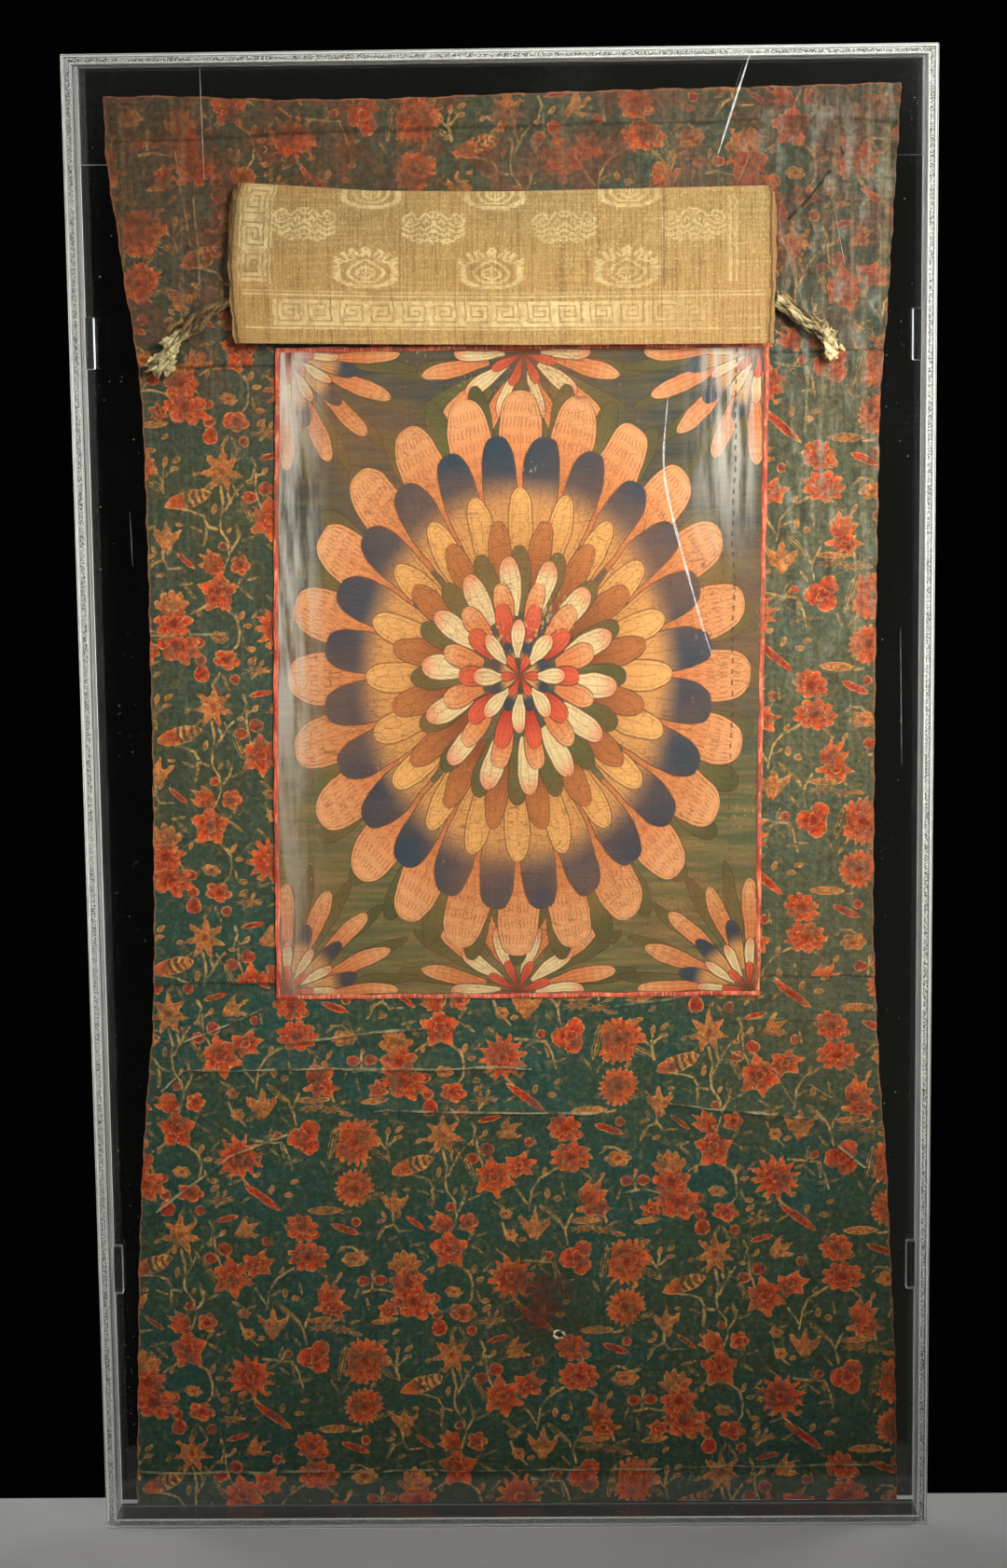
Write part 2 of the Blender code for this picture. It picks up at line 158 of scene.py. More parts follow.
def table_column(value, rows, column):
    """One named column of a table, read at values of its first column, which may run either way."""
    ordered = sorted(rows)
    return np.interp(value, [row[0] for row in ordered], [getattr(row, column) for row in ordered])


def seam_height(x, seam):
    start, end = seam
    return start.height + (end.height - start.height) * (x - start.across) / (end.across - start.across)


def distance_to_line(x, z, x0, z0, x1, z1):
    run_x, run_z = x1 - x0, z1 - z0
    along = np.clip(((x - x0) * run_x + (z - z0) * run_z) / (run_x**2 + run_z**2), 0, 1)
    return np.hypot(x - x0 - along * run_x, z - z0 - along * run_z)


def fall(x, z):
    """How far the cloth stands forward of its hanging plane, as in the CAD model."""
    freedom = np.clip((TOP_HEM_Z - z) / FREE_REACH, 0, 1)
    freedom = freedom * freedom * (3 - 2 * freedom)
    upright = UPRIGHT_WAVE * (1 + np.sin(math.tau * (x / 0.3 + 0.12) + 1.3 * np.sin(7 * z)))
    level = LEVEL_WAVE * (1 + np.sin(math.tau * z / 0.26 + 3 * x + 0.6))
    ridge = np.zeros_like(x)
    for crease in CREASES:
        share = distance_to_line(x, z, *crease[:4]) / CREASE_HALF_WIDTH
        ridge = np.maximum(ridge, crease.ridge * np.exp(-share * share))
    return freedom * (upright + level) + ridge


print("fall at the middle:", round(float(fall(np.array(0.0), np.array(0.5))) * 1000, 2), "mm")

# %% [markdown]
# ## Fine folds
#
# Old cloth keeps thin, sharp creases that its solid is too coarse to show. Each one is a narrow ridge or
# trough along a short line. All layers take the same folds, so they never cut into each other.

# %% Fine folds
FINE_CREASES = rows_of(Crease, (
    (0.1997, 0.2996, 0.2147, 0.2905, 0.0006), (0.1215, 0.3381, 0.1652, 0.314, 0.0006),
    (0.1515, 0.3449, 0.2052, 0.3451, 0.0005), (0.1856, 0.8723, 0.212, 0.9021, -0.0004),
    (-0.234, 0.607, -0.185, 0.607, 0.0004), (0.1808, 0.8605, 0.1953, 0.8156, 0.001),
    (0.1988, 0.8733, 0.208, 0.85, 0.0008), (0.185, 0.78, 0.188, 0.735, 0.0006),
    (0.1975, 0.778, 0.196, 0.73, 0.0006), (-0.21, 0.92, -0.202, 0.86, 0.0005),
    (-0.1985, 0.89, -0.196, 0.825, 0.0005), (-0.144, 0.77, -0.146, 0.69, 0.0003),
    (0.14, 0.79, 0.139, 0.56, 0.0003), (0.07, 0.355, 0.11, 0.359, 0.0004),
))
SHARP_HALF_WIDTH = 0.0024


def drape(x, z):
    """The depth of the scene's cloth: the CAD model's, with sharper creases and fine unevenness."""
    depth = fall(x, z)
    for crease in CREASES:
        share = distance_to_line(x, z, *crease[:4]) / SHARP_HALF_WIDTH
        depth = depth + 0.35 * crease.ridge * np.exp(-share * share)
    for crease in FINE_CREASES:
        share = distance_to_line(x, z, *crease[:4]) / (1.6 * SHARP_HALF_WIDTH)
        depth = depth + crease.ridge * np.exp(-share * share)
    ripple = 0.00016 * np.sin(61 * x + 23 * z) + 0.00012 * np.sin(-37 * x + 83 * z + 1.0)
    pucker = 0.00022 * np.sin(290 * x + 2.2 * np.sin(45 * x)) * np.exp(-(((z - 0.931) / 0.007) ** 2))
    return depth + ripple + pucker


# %% [markdown]
# ## Helpers for pieces
#
# A sheet starts as a flat grid. Its points are moved to the place that a function gives, and Solidify
# gives it the thickness of real cloth behind that face.

# %% Helpers for pieces
def only(piece):
    bpy.ops.object.select_all(action="DESELECT")
    piece.select_set(True)
    bpy.context.view_layer.objects.active = piece


def apply_modifiers(piece):
    only(piece)
    for modifier in list(piece.modifiers):
        bpy.ops.object.modifier_apply(modifier=modifier.name)


def points_of(mesh):
    places = np.empty(len(mesh.vertices) * 3)
    mesh.vertices.foreach_get("co", places)
    return places.reshape(-1, 3)


def move_points(mesh, places):
    mesh.vertices.foreach_set("co", np.ascontiguousarray(places, dtype=float).ravel())
    mesh.update()


def started(name, primitive, **settings):
    """A new primitive with nothing else selected, and its flat points."""
    bpy.ops.object.select_all(action="DESELECT")
    primitive(size=1, **settings)
    piece = bpy.context.object
    piece.name = piece.data.name = name
    return piece, points_of(piece.data)


def cloth_sheet(name, columns, rows, place, thickness, fullness=None, offset=-1.0):
    """A sheet whose front is place(u, v), for arrays of u and v from 0 to 1."""
    sheet, flat = started(name, bpy.ops.mesh.primitive_grid_add, x_subdivisions=columns, y_subdivisions=rows)
    x, y, z = place(flat[:, 0] + 0.5, flat[:, 1] + 0.5)
    move_points(sheet.data, np.stack([x, y, z], axis=1))
    cloth = sheet.modifiers.new("thickness", "SOLIDIFY")
    cloth.thickness = thickness
    cloth.offset = offset
    if fullness is not None:
        group = sheet.vertex_groups.new(name="fullness")
        for index, share in enumerate(fullness(x, z)):
            group.add([index], float(share), "REPLACE")
        cloth.vertex_group = group.name
    apply_modifiers(sheet)
    sheet.vertex_groups.clear()
    bpy.ops.object.shade_smooth_by_angle(angle=math.radians(50))
    return sheet


def wear(piece, finish):
    piece.data.materials.clear()
    piece.data.materials.append(finish)


def dress(piece, finish, slot=None, *nodes):
    """Gives a piece its finish and its body, and hides the solids that it stands for. The slot is not used.
    """
    wear(piece, finish)
    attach(piece, "root")
    if nodes:
        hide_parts(*nodes)


# %% [markdown]
# ## Helpers for finishes
#
# A finish is a small net of nodes. These short words put in a node and wire it in one line, and colours are
# given as the eye reads them, from 0 to 255.

# %% Helpers for finishes
def linear(value):
    value = value / 255
    return value / 12.92 if value <= 0.04045 else ((value + 0.055) / 1.055) ** 2.4


def tint(red, green, blue):
    return (linear(red), linear(green), linear(blue), 1.0)


def operation(kind, swapped=False):
    """What an arithmetic sign between wires does: it puts in a Math node."""
    def act(self, other=0.0):
        return self.net.math(kind, other, self) if swapped else self.net.math(kind, self, other)

    return act


class Wire:
    """The value that a socket puts out."""

    def __init__(self, net, socket):
        self.net, self.socket = net, socket

    def under(self, share, *colour):
        """This colour with another one laid over it by a share."""
        return self.net.mix(share, self, tint(*colour))

    __add__ = __radd__ = operation("ADD")
    __mul__ = __rmul__ = operation("MULTIPLY")
    __sub__, __rsub__ = operation("SUBTRACT"), operation("SUBTRACT", True)
    __truediv__, __rtruediv__ = operation("DIVIDE"), operation("DIVIDE", True)
    __pow__, __gt__, __lt__ = operation("POWER"), operation("GREATER_THAN"), operation("LESS_THAN")
    __abs__ = operation("ABSOLUTE")


class Net:
    """Puts nodes into a tree and links them."""

    def __init__(self, tree, finish=None):
        self.tree, self.finish = tree, finish

    def shader(self):
        return self.tree.nodes["Principled BSDF"]

    def coat(self, colour, roughness=None, normal=None, alpha=None):
        """Wires the shader's colour, and what else is given. It returns the finished material."""
        wires = {"Base Color": colour, "Roughness": roughness, "Normal": normal, "Alpha": alpha}
        for label, value in wires.items():
            if value is not None:
                self.feed(self.shader().inputs[label], value)
        return self.finish

    def add(self, kind, values=None, **settings):
        node = self.tree.nodes.new(kind)
        for name, setting in settings.items():
            setattr(node, name, setting)
        for key, value in (values or {}).items():
            self.feed(node.inputs[key], value)
        return node

    def out(self, kind, values=None, output=0, **settings):
        return Wire(self, self.add(kind, values, **settings).outputs[output])

    def feed(self, socket, value):
        if isinstance(value, Wire):
            self.tree.links.new(value.socket, socket)
        else:
            socket.default_value = value

    def math(self, operation, a, b=0.0):
        return self.out("ShaderNodeMath", {0: a, 1: b}, operation=operation)

    def sin(self, angle):
        return self.math("SINE", angle)

    def cos(self, angle):
        return self.math("COSINE", angle)

    def mix(self, share, a, b, blend="MIX"):
        return self.out("ShaderNodeMix", {0: share, 6: a, 7: b}, 2, data_type="RGBA", blend_type=blend)

    def lit(self, colour, level):
        """A colour made darker or lighter by a level that is near one."""
        return self.mix(1.0, colour, self.join(level, level, level), "MULTIPLY")

    def split(self, vector):
        node = self.add("ShaderNodeSeparateXYZ", {0: vector})
        return [Wire(self, socket) for socket in node.outputs]

    def join(self, x=0.0, y=0.0, z=0.0):
        return self.out("ShaderNodeCombineXYZ", {0: x, 1: y, 2: z})

    def place(self):
        return self.out("ShaderNodeTexCoord", output="Object")

    def facing(self):
        """The y part of the face's direction: -1 on the side that looks to the viewer."""
        return self.split(self.out("ShaderNodeNewGeometry", output="Normal"))[1]

    def scaled(self, vector, scale, shift=(0, 0, 0)):
        return self.out("ShaderNodeMapping", {"Vector": vector, "Scale": scale, "Location": shift})

    def field(self, name, output="Fac"):
        return self.out("ShaderNodeAttribute", output=output, attribute_name=name)

    def uv(self, name):
        return self.out("ShaderNodeUVMap", uv_map=name)

    def group(self, tree, values):
        node = self.add("ShaderNodeGroup", values, node_tree=tree)
        return {socket.name: Wire(self, socket) for socket in node.outputs}

    def relief(self, height, distance, strength=1.0, normal=None):
        values = {"Height": height, "Distance": distance, "Strength": strength}
        return self.out("ShaderNodeBump", values if normal is None else values | {"Normal": normal})


def noise(vector, scale, detail=2, shift=(0, 0, 0), stretch=(1, 1, 1)):
    net = vector.net
    values = {"Vector": net.scaled(vector, stretch, shift), "Scale": scale, "Detail": detail}
    return net.out("ShaderNodeTexNoise", values | {"Roughness": 0.55})


def streaks(vector, stretch, detail, shift=(0, 0, 0)):
    """Noise that is drawn out along the axes with small numbers."""
    return noise(vector, 1, detail, shift, stretch)


def most(first, *others):
    for value in others:
        first = first.net.math("MAXIMUM", first, value)
    return first


def least(first, *others):
    for value in others:
        first = first.net.math("MINIMUM", first, value)
    return first


def band(value, low, high, start=0.0, end=1.0):
    """A soft step: start up to low, end from high on."""
    values = {"Value": value, "From Min": low, "From Max": high, "To Min": start, "To Max": end}
    return value.net.out("ShaderNodeMapRange", values, interpolation_type="SMOOTHSTEP")


def shade(share, low, high):
    """A colour between two, which are given as the eye reads them."""
    return share.net.mix(share, tint(*low), tint(*high))


def line(away, width, strength=1.0):
    """A thin line where away, a distance, is near nothing."""
    return band(abs(away), width * 0.4, width, strength, 0)


SOCKETS = {"vector": "NodeSocketVector", "": "NodeSocketFloat", "colour": "NodeSocketColor"}


def new_group(name, takes, gives):
    """An empty shader node group. A socket is a plain value unless a kind follows its name."""
    tree = bpy.data.node_groups.new(name, "ShaderNodeTree")
    for way, words in (("INPUT", takes), ("OUTPUT", gives)):
        for word in words.split():
            label, _, kind = word.partition(":")
            tree.interface.new_socket(label, in_out=way, socket_type=SOCKETS[kind])
    net = Net(tree)
    given = {socket.name: Wire(net, socket) for socket in net.add("NodeGroupInput").outputs}
    return net, given, net.add("NodeGroupOutput").inputs


def new_finish(name, roughness=0.8, **plain):
    """The net of a new material, with the plain values of its Principled shader."""
    finish = bpy.data.materials.new(name)
    finish.use_nodes = True
    net = Net(finish.node_tree, finish)
    for label, value in {"Roughness": roughness, **plain}.items():
        net.feed(net.shader().inputs[label.replace("_", " ")], value)
    return net


# %% [markdown]
# ## Effects that several finishes share
#
# Three effects return on the cloths: crossing threads, rubbed patches and the figures of the print. Each is
# built once as a node group and placed in the finishes with its own values.

# %% Weave group
def weave_group():
    """Plain weave: threads along X and Z that pass over and under each other, and slubs along both."""
    net, given, out = new_group("plain_weave", "Place:vector Thread", "Height Slub")
    x, _, z = net.split(given["Place"])
    turn_x, turn_z = x * math.pi / given["Thread"], z * math.pi / given["Thread"]
    net.feed(out["Height"], net.sin(turn_x) * net.sin(turn_z) * 0.5 + abs(net.cos(turn_x)) * 0.2)
    weft = streaks(given["Place"], (35, 35, 900), 3)
    warp = streaks(given["Place"], (900, 35, 28), 3, (3, 1, 7))
    net.feed(out["Slub"], (weft + warp) * 0.5)
    return net.tree


WEAVE = weave_group()


def wear_group():
    """Rubbed patches: many small ones inside a few large ones."""
    net, given, out = new_group("rubbed", "Place:vector Amount", "Mask")
    both = noise(given["Place"], 14) * 0.55 + noise(given["Place"], 420, 3, stretch=(1, 1, 0.6)) * 0.45
    low = 0.78 - given["Amount"] * 0.42
    net.feed(out["Mask"], band(both, low, low + 0.07))
    return net.tree


RUBBED = wear_group()

# %% [markdown]
# Each face of the cloth knows which figure it lies in: its own map gives the place within the figure, and
# three face attributes give the figure's form, colours and size. A figure's edge is a distance that swings
# in and out with its petals, so seven deep points make a star lily and two make a leaf. A little noise
# bends each one.

# %% Printed figure group
GOLD = tint(194, 146, 84)
AMBER = tint(178, 112, 54)
RED = tint(184, 48, 18)
ORANGE = tint(216, 98, 38)
DEEP_RED = tint(88, 22, 14)
LEAF_BROWN = tint(78, 66, 36)
OUTLINE = 0.0007


def figure_group():
    takes = "Place:vector Local:vector Form:vector Tone:vector Size"
    net, given, out = new_group("printed_figure", takes, "Cover Ink:colour")
    place, size = given["Place"], given["Size"]
    u, v, _ = net.split(given["Local"])
    petals, lobe, sweep = net.split(given["Form"])
    red, core, lines = net.split(given["Tone"])
    u = u + (noise(place, 260, 3) - 0.5) * 0.34
    v = v + (noise(place, 260, 3, (4, 7, 2)) - 0.5) * 0.34
    reach = (u * u + v * v) ** 0.5
    angle = net.math("ARCTAN2", v, u)
    half = angle * petals * 0.5
    crest, notch = abs(net.cos(half)), abs(net.sin(half))
    is_pointed = lobe < 0.0
    edge = (notch * lobe + 1.0) * is_pointed + (1.0 - (1.0 - crest) * lobe) * (1.0 - is_pointed)
    opening = band(abs(angle), sweep, sweep + 0.22, 1, 0.02)
    edge = most(edge * opening, 0.01)
    share = reach / edge
    soft = 0.0005 / size
    net.feed(out["Cover"], band(share, 1 - soft, 1 + soft, 1, 0))

    dapple = band(noise(place, 520, 3), 0.42, 0.6)
    ray = band(crest, 0.4, 0.95) * band(share, core, 0.9) * least(lines, 1)
    ink = net.mix(most(red, 0.0), AMBER, RED)
    ink = net.mix(dapple * 0.55, ink, DEEP_RED)
    ink = net.mix(ray * (most(red, 0.0) * 0.65 + 0.1), ink, ORANGE)
    bright = band(noise(place, 480, 3, (2, 6, 1)), 0.52, 0.64, 0, 0.45)
    ink = net.mix(bright, ink, AMBER)
    ink = net.mix(most(red * -1.0, 0.0), ink, LEAF_BROWN)
    ink = net.mix(band(share, 0.85, 0.25, 0, 0.45) * (red > 0.5), ink, DEEP_RED)
    parting = band(crest, 0, 0.4, 1, 0) * band(share, core, core + 0.12)
    ink = net.mix(parting * least(lines, 1.0) * 0.7, ink, DEEP_RED)

    boss = core * (0.72 + notch * 0.36)
    into = reach / most(boss, 0.01)
    ink = net.mix(band(into, 0.85, 1, 0.45, 0) * dapple, ink, ORANGE)
    ink = net.mix(band(into, 0.35, 0.6, 0.65, 0) * (core > 0.1), ink, DEEP_RED)
    boss_rim = line((into - 1) * size * core, 0.00055) * (core > 0.1) * 0.7
    rim = band((1 - share) * size * edge, OUTLINE * 0.6, OUTLINE * 1.6, 1, 0)
    fringe = band(abs(crest - 0.3), 0.05, 0.16, 1, 0) * band(share, 0.45, 0.75) * least(lines, 1)
    striped = band(u, -0.3, 0) * (lines > 1.5)
    stripe = band(net.sin(u * 21 - v * v * 6), -0.3, 0.2)
    ink = net.mix(striped * (1.0 - stripe) * 0.85, ink, LEAF_BROWN)
    rib = line(v, 0.16) * (red < -0.5) * 0.7
    broken = band(noise(place, 340, 3, (9, 2, 5)), 0.38, 0.6, 0.1, 1)
    ink = net.mix(most(rim * 0.95, fringe * 0.85, stripe * striped * 0.9, rib, boss_rim) * broken, ink, GOLD)
    net.feed(out["Ink"], ink)
    return net.tree


FIGURE = figure_group()
print("node groups:", [tree.name for tree in (WEAVE, RUBBED, FIGURE)])

# %% [markdown]
# ## The printed cloth of the mount
#
# The mount is cotton with a dark green ground and a trailing pattern of flowers, which repeats down the cloth
# and, a step higher, across it. One repeat is charted here, in steps of 0.63 mm right and down from its star
# lily.

# %% The repeat of the print
Motif = namedtuple("Motif", "kind right down length width turn")
ALL_ROUND = 9.0
Kind = namedtuple("Kind", "petals lobe red core lines sweep", defaults=[ALL_ROUND])

KINDS = {
    "lily": Kind(7, -0.5, 0.1, 0.34, 0.9),
    "mum": Kind(19, 0.22, 0.8, 0.38, 1.0),
    "daisy": Kind(12, -0.36, 1.0, 0.22, 0.8),
    "poppy": Kind(9, 0.24, 0.95, 0.48, 0.6),
    "azalea": Kind(6, -0.36, 0.95, 0.24, 0.9),
    "star": Kind(5, -0.34, 1.0, 0.3, 0.8),
    "rose": Kind(5, 0.26, 1.0, 0.55, 0.8),
    "frill": Kind(7, 0.3, 0.95, 0.52, 0.8),
    "heart": Kind(3, 0.42, 1.0, 0.35, 0.5),
    "tulip": Kind(9, -0.36, 0.05, 0.3, 0.9, 0.8),
    "fan": Kind(11, -0.22, 0.8, 0.16, 0.8, 0.95),
    "shell": Kind(2, -0.3, 0.6, 0.02, 2.0),
    "cap": Kind(13, 0.2, 0.2, 0.36, 1.0, 1.05),
    "pod": Kind(2, -0.55, 0.95, 0.02, 0.0),
    "ring": Kind(6, 0.2, 0.1, 0.55, 0.4),
    "berry": Kind(3, 0.1, 1.0, 0.02, 0.0),
    "bud": Kind(2, -0.34, 0.0, 0.02, 0.0),
    "leaf": Kind(2, -0.62, -1.0, 0.02, 0.0),
    "spray": Kind(9, -0.46, -0.4, 0.1, 1.0),
}


def motifs(chart):
    """One Motif for each five numbers between commas. Each line of a chart starts with its kind."""
    found = []
    for written in chart.strip().splitlines():
        kind, rows = written.split(":")
        found += [Motif(kind, *map(int, row.split())) for row in rows.split(",")]
    return found


def stems(chart):
    """One line of points, each right and down, for each line of a chart."""
    return [[tuple(map(int, spot.split())) for spot in row.split(",")] for row in chart.strip().splitlines()]


BLOOMS = motifs("""
lily: 0 0 47 45 90
shell: -33 33 50 26 20
tulip: -53 73 32 34 90, 71 -6 32 28 30, 97 100 38 38 88
mum: -95 7 56 52 10, -96 58 44 42 30
fan: -4 97 32 30 150, -125 176 38 36 60
pod: -31 97 26 12 -38, 50 -18 26 14 15, 95 203 52 19 -37, -107 104 32 18 -20
rose: 26 97 23 22 70, 18 197 30 22 -10
star: 5 127 48 44 92
cap: -43 143 32 38 95
frill: -40 163 42 36 15, -34 186 54 38 -20
azalea: -62 194 26 24 40, 81 34 44 32 15, 54 47 50 50 100, -122 192 42 26 0
poppy: 130 -7 38 32 -22, 137 25 46 34 0
daisy: 71 159 54 56 70
heart: 143 137 42 38 60
ring: -97 137 29 18 5, 9 174 20 13 -8, 71 111 15 14 0
berry: -7 214 19 17 90
leaf: -119 8 40 17 78, -70 20 30 17 -28, -76 68 26 13 22, 30 40 34 15 -62
bud: -66 206 30 11 8, -128 83 38 14 2, -132 205 38 11 3
""")
SPRIGS = motifs("""
leaf: 114 88 32 15 -42, 45 52 30 19 -50, -69 108 21 9 66, -88 129 17 9 12, -22 63 15 8 -20, -12 73 17 8 80
leaf: 21 63 19 8 100, 32 69 17 7 25, -29 121 18 8 15, -24 130 19 10 -45, 29 111 15 8 55, 40 110 15 7 20
leaf: 34 126 19 8 -35, 8 219 19 9 65, 19 221 19 8 -60, 122 119 15 7 130, -112 127 14 7 40
leaf: 118 151 20 8 -80, 105 131 14 7 70, 78 205 15 7 30, 60 130 14 7 140, -115 36 18 8 60
leaf: -128 34 16 7 120, 98 146 17 8 30, 108 152 16 7 -40, 94 158 14 7 80, 126 164 28 9 12, 60 78 16 8 150
leaf: 72 82 16 8 20, 88 22 15 7 60, 98 6 14 7 100, 152 44 18 8 -40, -96 176 14 7 70, -20 176 14 7 -60
leaf: 46 146 15 7 50, 36 178 14 7 110, 52 160 13 7 0, -14 18 15 7 40, 16 20 14 6 120, -100 208 17 8 20
leaf: -84 188 15 7 100, 100 66 15 7 30, 128 60 15 7 100, -134 130 16 8 60, 66 186 16 7 20
bud: -5 41 12 8 80, 45 -2 9 8 60, -69 5 9 8 120, -47 -7 11 8 40, -48 2 10 7 10, -59 -4 11 8 80
bud: -65 88 9 7 120, -68 95 11 7 20, -49 88 9 6 60, -56 114 10 7 20, 31 149 11 8 70, 38 160 10 8 10
bud: 26 153 9 6 120, 47 199 8 6 90, 55 198 8 6 70, 43 184 10 10 0, 111 65 11 10 90, 122 71 9 11 0
bud: 61 178 9 8 30, -26 6 8 7 30, -75 -15 12 8 10, -104 -24 16 8 -10, 38 -52 12 9 40, 99 -50 11 9 70
bud: 117 -44 11 9 0, -78 152 8 7 90, -114 156 10 7 60, 84 116 9 8 20, 146 84 10 8 0, -40 60 8 6 0
bud: -86 34 9 7 40, 12 62 8 6 60, 90 178 9 7 30, -14 150 8 7 80, 130 186 10 8 20, -54 218 9 7 40
bud: 30 10 8 7 0, 108 40 9 7 60
berry: 7 79 10 11 90, -88 162 15 12 0, -70 161 15 12 0, -95 96 11 11 0, 28 217 12 12 60, 47 16 16 15 0
berry: 31 26 15 13 0, -29 196 11 11 0, -12 181 13 12 0, -9 199 13 12 0, 92 8 11 11 0, 112 134 12 10 20
berry: -140 110 12 10 0
spray: 51 206 34 11 8, 151 104 34 11 6, -112 216 30 10 4
ring: 66 87 15 14 0
""")
STEMS = stems("""
0 16, 4 35, 2 50, 3 61, 12 74, 14 89, 8 106
4 45, 12 31, 16 22, 23 13
12 33, 8 22
-1 62, -10 60, -16 49, -28 45, -42 43
-12 60, -12 72
36 1, 36 10, 38 22, 44 38
36 4, 45 -1
31 -15, 35 -6, 31 8
-58 28, -61 12, -59 -2
-60 12, -50 3
-60 16, -68 7
-55 86, -55 98, -49 106, -34 105
-55 98, -64 102, -70 112
-5 141, -16 148, -22 152
16 145, 27 153, 30 166, 29 180, 20 192
121 37, 103 48, 94 62, 91 84
79 60, 84 68, 90 77
114 87, 125 97, 130 107, 133 123
130 105, 134 96, 138 88
-88 174, -72 171, -52 175
-79 171, -79 155
-110 207, -113 196
74 182, 82 190, 88 197
85 139, 104 141, 118 142, 124 156, 128 172
104 141, 110 132
14 84, 22 72, 24 62
-100 84, -110 86
-84 137, -100 124, -112 124
45 214, 56 204, 64 206
62 98, 66 110, 80 124
""")
STEP = 0.00063
Layout = namedtuple("Layout", "star_x star_z lean down across")
LAYOUTS = {
    "mount_bottom": Layout(-0.0465, 0.2667, 0.0, (0.004, -0.154), (0.179, 0.069)),
    "mount_left": Layout(-0.185, 0.715, -5.0, (-0.0095, -0.156), (0.1843, 0.0531)),
    "mount_right": Layout(0.1235, 0.721, -3.5, (-0.0055, -0.15), (0.1829, 0.0579)),
    "mount_top": Layout(0.005, 0.942, 0.0, (0.004, -0.154), (0.179, 0.069)),
}
print("figures in one repeat:", len(BLOOMS) + len(SPRIGS), "stems:", len(STEMS))

# %% [markdown]
# Each face of a sheet picks the figure that it lies deepest in. Its four corners then carry their place in
# that figure, so the shader draws a smooth edge. Stems and creases do so with the nearest line.

# %% Lay the print on a sheet
def faces_of(piece):
    """Face centres, and the four corner places of each face, seen from the front."""
    mesh = piece.data
    count = len(mesh.polygons)
    places = points_of(mesh)[:, [0, 2]]
    corner = np.empty(len(mesh.loops), dtype=int)
    mesh.loops.foreach_get("vertex_index", corner)
    assert len(corner) == 4 * count, "every face of a sheet has four corners"
    corners = places[corner].reshape(count, 4, 2)
    return corners.mean(axis=1), corners


def repeats(layout, low, high, reach=0.19):
    """The places of the star lily in every repeat that touches a rectangle."""
    star = np.array([layout.star_x, layout.star_z])
    down, across = np.array(layout.down), np.array(layout.across)
    for i in range(-9, 10):
        for j in range(-9, 10):
            place = star + i * down + j * across
            if np.all(place > low - reach) and np.all(place < high + reach):
                yield place


def turned(offsets, degrees):
    angle = math.radians(degrees)
    cos, sin = math.cos(angle), math.sin(angle)
    across, up = offsets[..., 0], offsets[..., 1]
    return np.stack([across * cos - up * sin, across * sin + up * cos], -1)


def in_figure(places, motif, kind, centre, lean):
    """Places within a figure: 1 is its longest reach. A fan's own origin is its foot."""
    own = turned(places - centre, -(motif.turn + lean))
    half_length, half_width = motif.length * STEP / 2, motif.width * STEP / 2
    if kind.sweep < math.pi:
        along = (own[..., 0] + half_length) / (2 * half_length)
        return np.stack([along, own[..., 1] / half_width * math.sin(min(kind.sweep, 1.5))], -1)
    return np.stack([own[..., 0] / half_length, own[..., 1] / half_width], -1)


def put_attribute(mesh, name, kind, domain, values):
    layer = mesh.attributes.new(name, kind, domain)
    field = "vector" if kind == "FLOAT_VECTOR" else "value"
    layer.data.foreach_set(field, np.ascontiguousarray(values, dtype=np.float32).ravel())


def lay_figures(piece, layer, motifs, layout):
    centres, corners = faces_of(piece)
    count = len(centres)
    depth = np.full(count, 1.6)
    local = np.full((count, 4, 2), 9.0)
    form = np.tile([2.0, 0.0, ALL_ROUND], (count, 1))
    tone = np.zeros((count, 3))
    size = np.full(count, 0.01)
    for star in repeats(layout, centres.min(axis=0), centres.max(axis=0)):
        for motif in motifs:
            kind = KINDS[motif.kind]
            centre = star + turned(np.array([motif.right, -motif.down]) * STEP, layout.lean)
            reach = max(motif.length, motif.width) * STEP * 0.95
            near = np.flatnonzero(np.abs(centres - centre).max(axis=1) < reach)
            if not len(near):
                continue
            own = turned(centres[near] - centre, -(motif.turn + layout.lean))
            share = np.hypot(own[:, 0] / motif.length, own[:, 1] / motif.width) * 2 / STEP
            won = near[share < depth[near]]
            depth[won] = share[share < depth[near]]
            local[won] = in_figure(corners[won], motif, kind, centre, layout.lean)
            form[won] = (kind.petals, kind.lobe, kind.sweep)
            tone[won] = (kind.red, kind.core, kind.lines)
            size[won] = math.sqrt(motif.length * motif.width) * STEP / 2
    uv = piece.data.uv_layers.new(name=layer)
    uv.uv.foreach_set("vector", local.astype(np.float32).ravel())
    put_attribute(piece.data, layer + "_form", "FLOAT_VECTOR", "FACE", form)
    put_attribute(piece.data, layer + "_tone", "FLOAT_VECTOR", "FACE", tone)
    put_attribute(piece.data, layer + "_size", "FLOAT", "FACE", size)


